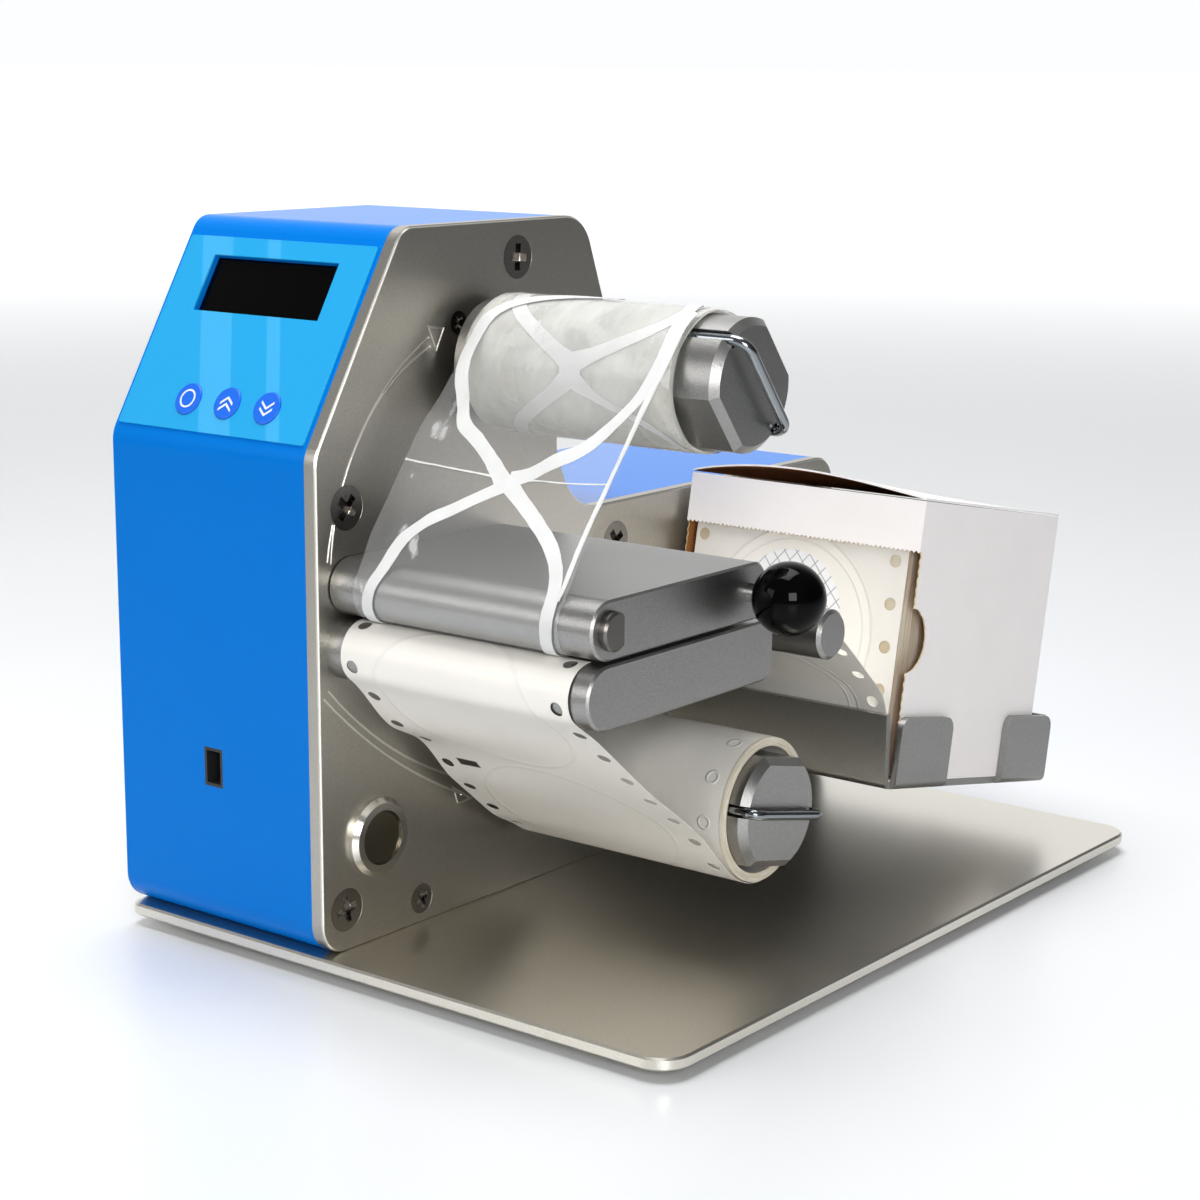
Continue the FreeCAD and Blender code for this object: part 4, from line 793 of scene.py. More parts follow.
class Run:
    """A line in the Y-Z plane that a sheet is laid along, measured from its start."""

    def __init__(self, points):
        self.points = points
        self.lengths = [0.0]
        for (first, _), (second, _) in zip(points, points[1:]):
            self.lengths.append(self.lengths[-1] + (second - first).length)
        self.total = self.lengths[-1]

    def at(self, length):
        """Place and outward direction at a length along the run."""
        length = min(max(length, 0.0), self.total)
        index = min(bisect.bisect_right(self.lengths, length), len(self.points) - 1)
        low, high = self.lengths[index - 1], self.lengths[index]
        part = (length - low) / max(high - low, 1e-9)
        (first, out_first), (second, out_second) = self.points[index - 1], self.points[index]
        return first.lerp(second, part), out_first.lerp(out_second, part).normalized()

    def lay(self, x, length, height):
        """A point on the flat sheet, laid on the run."""
        place, outward = self.at(length)
        place = place + outward * height
        return placed(x, place.x, place.y)


def tangent_lean(nose, nose_radius, roll, roll_radius, side):
    """Angle of the straight run from a nose to a roll; side is +1 upwards and -1 down."""
    step_y = roll[0] - nose[0]
    step_z = side * (roll[1] - nose[1])
    lean = math.asin((nose_radius - roll_radius) / math.hypot(step_y, step_z))
    return math.atan2(step_z, step_y) - lean


def belt(nose, nose_radius, roll, roll_radius, side, round_roll):
    """The run of a web from the slit round a nose to a roll and part of the way round it."""
    angle = side * (tangent_lean(nose, nose_radius, roll, roll_radius, side) + math.pi / 2)
    if side > 0:
        start = math.radians(270.0)
    else:
        start, angle = math.radians(90.0), angle + 2 * math.pi
    points = arc_points(nose, nose_radius, start, angle, 30)
    outward = Vector((math.cos(angle), math.sin(angle)))
    off = points[-1][0]
    touch = on_circle(roll, roll_radius, angle)
    points += line_points(off, touch, outward, 60)
    points += arc_points(roll, roll_radius, angle, angle - side * round_roll, 30)
    return Run(points)


def smooth_line(points, step):
    """Stations along a line that passes smoothly through points; each point is a tuple."""
    line = []
    for index in range(len(points) - 1):
        before = points[max(index - 1, 0)]
        first, second = points[index], points[index + 1]
        after = points[min(index + 2, len(points) - 1)]
        parts = max(int(math.dist(first[:2], second[:2]) / step), 1)
        for part in range(parts):
            t = part / parts
            line.append(tuple(
                0.5 * (2 * b + (c - a) * t + (2 * a - 5 * b + 4 * c - d) * t ** 2
                       + (3 * b - a - 3 * c + d) * t ** 3)
                for a, b, c, d in zip(before, first, second, after)))
    line.append(tuple(points[-1]))
    return line


def flat_strip(name, stations, thickness=0.14):
    """A flat strip along stations of X, length along the web and half width."""
    line = smooth_line(stations, 1.6)
    rows = []
    for index, (x, along, half) in enumerate(line):
        before, after = line[max(index - 1, 0)], line[min(index + 1, len(line) - 1)]
        way = Vector((after[0] - before[0], after[1] - before[1])).normalized()
        aside = Vector((-way.y, way.x))
        ragged = 0.16 * noise.noise((x * 0.9, along * 0.9, 3.0))
        reach = half + ragged
        rows.append([Vector((x + aside.x * reach * part, along + aside.y * reach * part, 0.0))
                     for part in (-1.0, -0.5, 0.0, 0.5, 1.0)])
    piece = skin(name, rows)
    thicken(piece, thickness)
    return piece


def joined(name, pieces):
    """One object of several."""
    nothing_selected()
    for piece in pieces:
        piece.select_set(True)
    bpy.context.view_layer.objects.active = pieces[0]
    bpy.ops.object.join()
    return named(bpy.context.active_object, name)


class REWINDER_OT_stage(bpy.types.Operator):
    """Camera, floor and soft light"""

    bl_idname = "rewinder.stage"
    bl_label = "Stage"

    def execute(self, context):
        settings = context.scene.rewinder_stage
        camera = bpy.data.cameras.new("camera")
        camera.lens = settings.focal_length
        camera.sensor_width = 36.0
        camera.clip_start = 0.05
        item = new_stage_object("camera", camera)
        turn = Matrix.Rotation(settings.heading, 4, "Z")
        turn = turn @ Matrix.Rotation(math.pi / 2 - settings.pitch, 4, "X")
        turn = turn @ Matrix.Rotation(settings.roll, 4, "Z")
        item.matrix_world = Matrix.Translation(Vector((0.4344, -0.5860, 0.2432))) @ turn
        context.scene.camera = item

        bpy.ops.object.select_all(action="DESELECT")
        bpy.ops.mesh.primitive_plane_add(size=160.0, location=(0.0, 0.0, 0.0))
        floor = context.active_object
        floor.name = "floor"
        material, tree = new_material("pale_floor")
        where = object_coordinates(tree)
        away = distance_to(tree, where, (0.0, 0.0, 0.0))
        behind = parts_of(tree, mapped(tree, where, rotation=(0.0, 0.0, math.radians(-37.0))))["Y"]
        side = ramp_between(tree, sum_of(tree, "DIVIDE", behind, away), 0.45, 0.9)
        far = ramp_between(tree, away, 0.4, 2.4, 0.0, settings.floor_glow)
        finish(material, None, rough=0.34, shine=0.6, glow=sum_of(tree, "MULTIPLY", far, side),
               glow_colour=(1.0, 1.0, 1.0, 1.0),
               colour=colour_between(tree, noise_on(tree, where, 3.0, 3.0),
                                     (0.73, 0.745, 0.76, 1.0), (0.77, 0.785, 0.80, 1.0)))
        floor.data.materials.append(material)

        world = bpy.data.worlds.new("studio")
        world.use_nodes = True
        tree = world.node_tree
        sky = tree.nodes["Background"]
        view = add_node(tree, "ShaderNodeTexCoord").outputs["Generated"]
        backdrop, flag = [
            add_node(tree, "ShaderNodeVectorMath", ((0, view), (1, way)),
                     operation="DOT_PRODUCT").outputs["Value"]
            for way in ((-0.80, 0.60, 0.0), (0.78, 0.62, 0.0))]
        glow = ramp_between(tree, backdrop, 0.30, 0.80, settings.studio_dim,
                            settings.studio_bright)
        shaded = ramp_between(tree, flag, 0.50, 0.95, 1.0, 0.25)
        tree.links.new(sum_of(tree, "MULTIPLY", glow, shaded), sky.inputs["Strength"])
        sky.inputs["Color"].default_value = (0.98, 0.99, 1.0, 1.0)
        context.scene.world = world
        context.scene.view_settings.view_transform = "Standard"

        middle = (0.0, 0.0, 0.1)
        soft_light("overhead", (-0.15, 0.0, 1.25), (-0.1, 0.0, 0.0), (0.9, 0.9),
                   settings.key_power, 95.0)
        soft_light("front_right", (0.98, -0.95, 0.52), middle, (0.55, 0.55), settings.fill_power)
        soft_light("front_left", (-0.65, -1.20, 0.55), middle, (0.6, 0.6),
                   settings.fill_power * 0.35)
        return {"FINISHED"}


class REWINDER_OT_metalwork(bpy.types.Operator):
    """Finishes of the plates, spindles, rods, screws and springs"""

    bl_idname = "rewinder.metalwork"
    bl_label = "Metalwork"

    def execute(self, context):
        colours = context.scene.rewinder_colours
        # The base has the side plate's anodise painted 1.7 times lighter: painted light for the
        # bright reflections on its top.
        give(blasted_metal("lit_base_anodise", shade(colours.anodise, 1.7), 0.30, 2600.0, 0.00002),
             "base_plate")
        give(blasted_metal("champagne_anodise", colours.anodise, 0.36, 2600.0, 0.00004),
             "far_side_plate")
        give(engraved_plate("engraved_anodise", colours.anodise), "side_plate")
        give(blasted_metal("satin_machined", colours.machined, 0.36, 2200.0, 0.00005),
             "upper_guide_plate", "lower_guide_plate", "upper_spindle", "lower_spindle",
             "guide_rod")
        give(blasted_metal("tray_blast", colours.machined, 0.42, 2400.0, 0.00005), "label_tray")
        give(bright_metal("sawn_aluminium", (0.6, 0.6, 0.61), 0.35, (40.0, 4000.0, 4000.0)),
             "base_brackets", "tie_bars")
        give(bright_metal("dark_nickel", (0.24, 0.225, 0.21), 0.2, (900.0, 900.0, 900.0)),
             "base_screws", "bracket_screws", "side_plate_screws", "far_plate_screws",
             "upper_motor_screws", "lower_motor_screws", "guide_screws", "tray_screws",
             "upper_set_screw", "lower_set_screw", "push_button_nut")
        along_x = (4000.0, 60.0, 60.0)
        give(bright_metal("ground_shaft", (0.36, 0.36, 0.36), 0.2, along_x),
             "upper_shaft", "lower_shaft", "knob_stem")
        give(bright_metal("dark_shaft", (0.16, 0.15, 0.14), 0.3, along_x), "pivot_shaft")
        give(bright_metal("spring_wire", (0.30, 0.32, 0.34), 0.12, (60.0, 60.0, 60.0)),
             "upper_clip", "lower_clip")
        low, high = node_box("push_button_plunger")
        middle = (low + high) / 2
        give(spun_metal("spun_button", (0.17, 0.15, 0.11), 0.28, middle), "push_button_plunger")
        give(spun_metal("bright_bezel", (0.72, 0.69, 0.63), 0.2, middle), "push_button_body")
        give(bright_metal("drawn_can", (0.5, 0.5, 0.5), 0.3, (30.0, 2000.0, 2000.0)),
             "upper_gearmotor", "lower_gearmotor")
        give(bright_metal("bronze", (0.55, 0.38, 0.18), 0.35, (2000.0, 200.0, 200.0)),
             "upper_bushing", "lower_bushing", "socket_pins", "dc_inlet_pin")
        return {"FINISHED"}


class REWINDER_OT_housing(bpy.types.Operator):
    """Finishes of the cover, panel, display and electrics"""

    bl_idname = "rewinder.housing"
    bl_label = "Housing"

    def execute(self, context):
        colours = context.scene.rewinder_colours
        give(powder_coat("blue_powder_coat", colours.cover), "wrap_cover")
        give(panel_film("membrane_film", colours.membrane), "membrane_panel")
        give(moulded("key_film", colours.keys, 0.3), "key_start", "key_up", "key_down")
        give(glossy_black("display_black"), "display_glass")
        give(moulded("moulded_black", (0.015, 0.015, 0.016), 0.45), "display_module",
             "front_socket", "dc_inlet")
        give(moulded("solder_mask", (0.01, 0.12, 0.04), 0.3), "key_board", "control_board")
        give(moulded("white_nylon", (0.75, 0.75, 0.72), 0.5), "panel_pegs", "board_standoffs")
        give(moulded("foot_rubber", (0.02, 0.02, 0.02), 0.8), "rubber_feet")
        return {"FINISHED"}


class REWINDER_OT_knob(bpy.types.Operator):
    """Turned ball knob with a flat against its stem"""

    bl_idname = "rewinder.knob"
    bl_label = "Ball knob"

    def execute(self, context):
        radius = (KNOB_HIGH.y - KNOB_LOW.y) / 2
        centre = placed(KNOB_HIGH.x - radius, (KNOB_LOW.y + KNOB_HIGH.y) / 2,
                        (KNOB_LOW.z + KNOB_HIGH.z) / 2)
        flat = placed(KNOB_LOW.x, 0.0, 0.0).x
        nothing_selected()
        bpy.ops.mesh.primitive_uv_sphere_add(segments=72, ring_count=36, radius=radius * MM,
                                             location=centre)
        ball = named(context.active_object, "turned_ball_knob")
        bpy.ops.object.transform_apply(location=True)
        bpy.ops.object.mode_set(mode="EDIT")
        bpy.ops.mesh.select_all(action="SELECT")
        bpy.ops.mesh.bisect(plane_co=(flat, centre.y, centre.z), plane_no=(1.0, 0.0, 0.0),
                            use_fill=True, clear_inner=True)
        mesh = bmesh.from_edit_mesh(ball.data)
        for face in mesh.faces:
            face.select = all(abs(vert.co.x - flat) < 1e-6 for vert in face.verts)
        mesh.select_flush_mode()
        bmesh.update_edit_mesh(ball.data)
        bpy.ops.mesh.inset(thickness=0.0006)
        bpy.ops.mesh.inset(thickness=0.0008, depth=-0.0003)
        bpy.ops.object.mode_set(mode="OBJECT")
        settle(ball, "upper_guide", glossy_black("knob_black"), ("ball_knob",),
               60.0)
        return {"FINISHED"}


FILM_START, FILM_SPAN = 9.5, 68.0


def film_run():
    """From the slit round the upper nose to the take-up roll."""
    return belt(PIVOT.yz, UPPER_NOSE + 0.45, UPPER_AXIS.yz,
                FILM_RADIUS + 0.3, 1, math.radians(75.0))


def held(value):
    """A value kept between nought and one."""
    return min(max(value, 0.0), 1.0)


def read_off(table, length):
    """A value from a table of lengths and values, eased between its lines."""
    for (low, first), (high, second) in zip(table, table[1:]):
        if length <= high:
            part = held((length - low) / (high - low))
            part = part * part * (3 - 2 * part)
            return first + (second - first) * part
    return table[-1][1]


# X of the film's left and right edges, by length along its run.
FILM_LEFT = ((0.0, 9.6), (18.0, 9.0), (32.0, 7.2), (60.0, 7.2), (76.0, 9.6), (95.0, 12.5),
             (130.0, 12.0))
FILM_RIGHT = ((0.0, 77.5), (20.0, 77.0), (50.0, 76.0), (66.0, 76.6), (90.0, 78.0), (130.0, 78.5))


def film_wave(x, length):
    """How far the film stands off its run."""
    free = held((length - 20.0) / 14.0) * held((98.0 - length) / 14.0)
    broad = noise.noise((x * 0.045, length * 0.05, 1.3))
    pleat = noise.noise((x * 0.16, length * 0.05, 7.7))
    left = math.exp(-((x - 12.0) / 14.0) ** 2)
    return free * (1.2 * broad + (0.35 + 0.8 * left) * pleat)


class REWINDER_OT_film_web(bpy.types.Operator):
    """Clear film from the slit up to the roll, with the waste lattice it carries"""

    bl_idname = "rewinder.film_web"
    bl_label = "Film web"

    def execute(self, context):
        run, length = film_run(), 131.0

        def lay(co, lift):
            left, right = read_off(FILM_LEFT, co.y), read_off(FILM_RIGHT, co.y)
            x = left + (co.x - FILM_START) / FILM_SPAN * (right - left)
            return run.lay(x, co.y, lift + co.z + film_wave(co.x, co.y))

        sheet = flat_sheet("clear_film_sheet", FILM_START, FILM_START + FILM_SPAN, length, 68,
                           120, thickness=0.06)
        move_points(sheet, lambda co: lay(co, 0.0))
        settle(sheet, "root", clear_film("clear_film"), ("film_web",), SHEET_ANGLE)

        # X, length along the web and half width at stations of each strip of the lattice
        strips = [
            ((45.5, 48.6, 2.6), (37.0, 56.0, 2.0), (29.5, 61.3, 1.9), (23.0, 65.2, 1.9),
             (17.5, 72.0, 1.8), (13.2, 78.7, 1.8), (9.6, 87.2, 2.0), (9.4, 95.3, 2.1),
             (13.0, 102.1, 2.0), (20.0, 107.0, 2.0), (31.0, 112.0, 2.0), (44.0, 116.0, 1.8)),
            ((45.5, 51.2, 2.4), (51.0, 53.2, 2.1), (57.5, 57.8, 2.1), (64.5, 62.8, 2.0),
             (70.0, 71.3, 1.9), (73.6, 79.1, 1.9), (74.5, 87.0, 2.0), (74.5, 95.0, 2.1),
             (73.5, 104.0, 2.1), (70.0, 114.0, 2.0), (62.0, 124.0, 1.8)),
            ((46.5, 50.8, 2.5), (41.0, 47.0, 2.0), (33.5, 41.2, 1.9), (26.5, 35.8, 1.9),
             (21.5, 30.0, 1.8), (17.6, 21.2, 1.8), (15.4, 14.9, 1.8), (13.6, 8.4, 1.8),
             (12.4, 2.0, 1.8)),
            ((46.5, 49.5, 2.5), (51.0, 46.4, 2.1), (59.5, 40.5, 2.0), (67.5, 33.9, 2.0),
             (72.2, 27.0, 1.9), (73.9, 19.0, 1.9), (73.9, 12.0, 1.9), (72.6, 6.0, 1.9),
             (71.0, 1.0, 1.9)),
            ((9.8, 52.8, 0.3), (30.0, 52.0, 0.25), (46.0, 51.6, 0.3), (60.0, 52.0, 0.2),
             (76.5, 53.2, 0.2)),
        ]
        lattice = joined("waste_lattice", [flat_strip("waste_strip", stations)
                                           for stations in strips])
        move_points(lattice, lambda co: lay(co, 0.13))
        white = lattice_white("lattice_white")
        settle(lattice, "root", white, angle=SHEET_ANGLE)

        curl = flat_strip("curled_film_edge", (
            (76.0, 20.0, 0.35), (76.4, 32.0, 0.7), (76.9, 49.0, 0.8), (76.8, 58.0, 0.6),
            (77.0, 68.0, 0.9), (76.6, 80.0, 1.0), (76.8, 95.0, 0.8), (76.5, 106.0, 0.7)), 0.1)
        move_points(curl, lambda co: lay(co, 0.30 + 0.35 * abs(co.x - 76.6)))
        settle(curl, "root", white, angle=SHEET_ANGLE)
        return {"FINISHED"}


def roll_ring(centre, turns, x_at, radius_at):
    """A ring of points round a roll, its X and radius set by the angle."""
    row = []
    for step in range(turns):
        angle = 2 * math.pi * step / turns
        place = on_circle(centre, radius_at(angle), angle)
        row.append(placed(x_at(angle), place.x, place.y))
    return row


class REWINDER_OT_film_roll(bpy.types.Operator):
    """Take-up roll of film and waste, with its loose outer turn"""

    bl_idname = "rewinder.film_roll"
    bl_label = "Film roll"

    def execute(self, context):
        centre = UPPER_AXIS.yz

        def ring(x_at, radius_at):
            return roll_ring(centre, 96, x_at, radius_at)

        def body_radius(x):
            return lambda angle: (FILM_RADIUS - 0.30 + 0.16 * noise.noise(
                (x * 0.11, math.cos(angle) * 1.6, math.sin(angle) * 1.6)))

        def uneven(middle, reach, seed):
            return lambda angle: middle + reach * noise.noise(
                (math.cos(angle) * 1.3, math.sin(angle) * 1.3, seed))

        inner = FILM_RADIUS - 1.38
        rows = [ring(uneven(9.3, 0.5, 1.0), lambda angle: inner),
                ring(uneven(9.0, 0.6, 1.0), lambda angle: FILM_RADIUS - 0.7)]
        for step in range(36):
            x = 10.0 + 67.0 * step / 35
            rows.append(ring(uneven(x, 0.5, 2.0), body_radius(x)))
        rows += [ring(uneven(77.3, 0.9, 3.0), lambda angle: FILM_RADIUS - 0.75),
                 ring(uneven(76.9, 0.9, 3.0), lambda angle: inner),
                 ring(lambda angle: 43.0, lambda angle: inner), rows[0]]
        body = skin("wound_film", rows, closed=True)
        close_seams(body)
        settle(body, "upper_spindle", wound_film("wound_film"), ("film_roll",), 60.0)

        def loose(x):
            end = max((x - 70.0) / 9.0, 0.0)
            return lambda angle: FILM_RADIUS - 0.1 + 0.10 * noise.noise(
                (x * 0.09, math.cos(angle) * 2.2, math.sin(angle) * 2.2)) - 0.25 * end

        places = [8.6 + 70.0 * step / 35 for step in range(36)]
        rows = [ring(uneven(x, 0.9, 5.0), loose(x)) for x in places]
        turn = skin("loose_outer_turn", rows, closed=True)
        thicken(turn, 0.08 * MM)
        settle(turn, "upper_spindle", milky_film("milky_film", 0.55), angle=60.0)

        def on_roll(co):
            angle = math.radians(co.y / scale)
            place = on_circle(centre, FILM_RADIUS + 0.06 + co.z, angle)
            return placed(co.x, place.x, place.y)

        # X, degrees round the roll and half width at stations of each strip
        strips = [
            ((45.0, 168.0, 3.0), (39.0, 158.0, 2.1), (31.5, 145.0, 2.0), (23.0, 128.0, 2.0),
             (18.0, 110.0, 2.0), (16.0, 92.0, 2.0)),
            ((45.0, 168.0, 3.0), (53.5, 157.0, 2.0), (60.5, 146.0, 1.9), (67.0, 134.0, 1.9),
             (71.5, 120.0, 1.9), (73.0, 100.0, 1.9), (72.0, 80.0, 1.9)),
            ((45.0, 178.0, 3.0), (38.5, 194.0, 2.0), (30.5, 210.0, 2.0), (23.5, 228.0, 2.0),
             (20.0, 250.0, 2.0)),
            ((45.0, 178.0, 3.0), (54.0, 194.0, 1.2), (65.0, 208.0, 1.1), (72.0, 224.0, 1.1),
             (75.0, 245.0, 1.1)),
            ((45.0, 164.0, 3.2), (45.0, 173.0, 3.6), (45.0, 182.0, 3.2)),
        ]
        scale = math.radians(FILM_RADIUS)
        lattice = joined("roll_lattice", [
            flat_strip("roll_strip", [(x, turned * scale, half) for x, turned, half in stations],
                       0.08) for stations in strips])
        move_points(lattice, on_roll)
        settle(lattice, "upper_spindle", bpy.data.materials["lattice_white"],
               angle=SHEET_ANGLE)
        return {"FINISHED"}


def liner_run():
    """From the slit round the lower nose and down to the underside of the liner roll."""
    return belt(LOWER_CENTRE, LOWER_NOSE + 0.2, LOWER_AXIS.yz, LINER_RADIUS + 0.35,
                -1, math.radians(60.0))


# How far the liner's left and right edges stand off its run, by length along it.
LEFT_BILLOW = ((0.0, 0.0), (22.0, 0.0), (42.0, 2.4), (57.0, -0.2), (76.0, 2.2), (96.0, 2.3),
               (112.0, 0.0), (130.0, 0.0))
RIGHT_BILLOW = ((0.0, 0.0), (12.0, 0.5), (33.0, -0.7), (56.0, -0.5), (86.0, -1.8), (108.0, 0.0),
                (130.0, 0.0))


class REWINDER_OT_liner_web(bpy.types.Operator):
    """Punched liner from the slit down to its roll, billowing a little"""

    bl_idname = "rewinder.liner_web"
    bl_label = "Liner web"

    def execute(self, context):
        colours = context.scene.rewinder_colours
        run = liner_run()
        length = 124.0
        holes = []
        for step in range(10):
            along = 3.1 + HOLE_PITCH * step
            if along < length - 3.0:
                holes += [(9.2, along), (78.0, along)]
        sheet = flat_sheet("punched_liner", LINER_LOW.x, LINER_HIGH.x + 0.4, length, 44, 92, holes)

        def lay(co):
            part = held((co.x - LINER_LOW.x) / (LINER_HIGH.x - LINER_LOW.x))
            left = read_off(LEFT_BILLOW, co.y) * (1.0 - part) ** 2.2
            right = read_off(RIGHT_BILLOW, co.y) * part ** 2.2
            return run.lay(co.x, co.y, co.z + left + right)

        move_points(sheet, lay)
        settle(sheet, "root", printed_liner("printed_liner", colours.paper),
               ("liner_web",), SHEET_ANGLE)
        return {"FINISHED"}


class REWINDER_OT_liner_roll(bpy.types.Operator):
    """Rewound liner on the lower spindle"""

    bl_idname = "rewinder.liner_roll"
    bl_label = "Liner roll"

    def execute(self, context):
        colours = context.scene.rewinder_colours
        inner = LINER_RADIUS - 2.6

        def ring(x, radius, drift=0.0):
            return roll_ring(
                LOWER_AXIS.yz, 128, lambda angle: x,
                lambda angle: radius + drift * noise.noise(
                    (x * 0.05, math.cos(angle) * 1.5, math.sin(angle) * 1.5)))

        left, right = LINER_LOW.x, LINER_HIGH.x + 1.3
        rows = [ring(left, inner)]
        for step in range(1, 9):
            jog = 0.25 * noise.noise((step * 0.9, 4.0, 0.0))
            rows.append(ring(left + jog, inner + (LINER_RADIUS - 0.3 - inner) * step / 8))
        for step in range(1, 30):
            rows.append(ring(left + (right - left) * step / 30, LINER_RADIUS - 0.1, 0.12))
        for step in range(0, 13):
            jog = 0.22 * noise.noise((step * 0.8, 9.0, 0.0))
            rows.append(ring(right + jog, LINER_RADIUS - 0.15
                             + (inner - LINER_RADIUS + 0.15) * step / 12))
        rows += [ring((left + right) / 2, inner), rows[0]]
        roll = skin("wound_liner", rows, closed=True)
        close_seams(roll)
        settle(roll, "lower_spindle", wound_liner("wound_liner", colours.paper),
               ("liner_roll",), 40.0)
        return {"FINISHED"}


def tray_point(x, along, up):
    """A point in the tray's own directions, along its floor and up from it."""
    turn = -TRAY_TILT
    return placed(x, TRAY_CORNER[0] + along * math.cos(turn) - up * math.sin(turn),
                  TRAY_CORNER[1] + along * math.sin(turn) + up * math.cos(turn))


def label_run():
    """From the slit over the guide rod and down the front of the stack."""
    level = LOWER_GUIDE_HIGH.z + 0.35
    rod = ROD.yz
    radius = (ROD_HIGH.y - ROD.y) + 0.35
    leave = (LOWER_GUIDE_HIGH.y + 4.0, level)
    first = tangent_lean(leave, 0.0, rod, radius, 1) + math.pi / 2
    drop = math.radians(-42.0)
    last = drop + math.pi / 2
    start = Vector((PIVOT.y + 2.0, level))
    points = [(start.lerp(Vector(leave), step / 20), Vector((0.0, 1.0))) for step in range(21)]
    points += line_points(Vector(leave), on_circle(rod, radius, first),
                          Vector((math.cos(first), math.sin(first))), 10)
    points += arc_points(rod, radius, first, last, 16)
    off = points[-1][0]
    foot = in_millimetres(tray_point(0.0, 3.9, 3.6)).yz
    top = in_millimetres(tray_point(0.0, 3.9, 80.0)).yz
    way, panel = Vector((math.cos(drop), math.sin(drop))), (foot - top).normalized()
    gap = top - off
    reach = (gap.x * panel.y - gap.y * panel.x) / (way.x * panel.y - way.y * panel.x)
    meet = off + way * reach
    turn = way.angle(panel)
    bend = 16.0
    cut = bend * math.tan(turn / 2)
    begin = meet - way * cut
    outward = Vector((-way.y, way.x))
    points += line_points(off, begin, outward, 24)
    start_angle = math.atan2(outward.y, outward.x)
    points += arc_points(begin - outward * bend, bend, start_angle, start_angle - turn, 16)
    points += line_points(meet + panel * cut, foot, Vector((-panel.y, panel.x)), 12)
    points.append((foot, Vector((-panel.y, panel.x))))
    return Run(points)


class REWINDER_OT_labels(bpy.types.Operator):
    """Label web over the rod, and the fan-folded stack that it comes from"""

    bl_idname = "rewinder.labels"
    bl_label = "Labels"

    def execute(self, context):
        colours = context.scene.rewinder_colours
        run = label_run()
        length = run.total
        holes = []
        along = length - 9.0
        while along > 64.0:
            holes += [(8.6, along), (77.4, along)]
            along -= HOLE_PITCH
        sheet = flat_sheet("label_web_sheet", WEB_LEFT, WEB_RIGHT, length, 40, 100, holes, 0.22)

        def lay(co):
            free = held((co.y - 112.0) / 12.0) * held((length - 14.0 - co.y) / 12.0)
            wave = 0.5 * free * noise.noise((co.x * 0.03, co.y * 0.06, 4.4))
            return run.lay(co.x, co.y, co.z + wave)

        move_points(sheet, lay)
        web = label_face("label_web_face", colours.paper, False)
        settle(sheet, "root", web, ("label_web",), SHEET_ANGLE)

        rows = []
        low, high, first, last = 2.9, 78.6, 4.5, 83.1
        folds = 64
        for step in range(folds + 1):
            along = first + (last - first) * step / folds
            jog = 0.35 * noise.noise((step * 0.83, 2.0, 0.0))
            rise = 0.6 * noise.noise((step * 0.71, 6.0, 0.0))
            corners = ((5.7 + jog, low), (81.2 + jog, low), (81.2 + jog, high - 0.4 + rise),
                       (5.7 + jog, high - 0.4 + rise))
            rows.append([tray_point(x, along, up) for x, up in corners])
        stack = skin("folded_stack", rows, closed=True, ends=True)
        settle(stack, "root", fan_folds("fan_folds", colours.paper),
               ("label_stack",), 20.0)

        holes = [(x, 66.0 - HOLE_PITCH * step) for step in range(5) for x in (8.6, 77.2)]
        face = flat_sheet("stack_front_sheet", 5.6, 81.4, 78.0, 38, 39, holes, 0.14)
        move_points(face, lambda co: tray_point(
            co.x, 4.25 + co.z + 0.25 * noise.noise((co.x * 0.04, co.y * 0.05, 8.0)) - 0.1,
            max(co.y, 3.0)))
        front = label_face("stack_face", colours.paper, True)
        settle(face, "root", front, angle=SHEET_ANGLE)
        return {"FINISHED"}


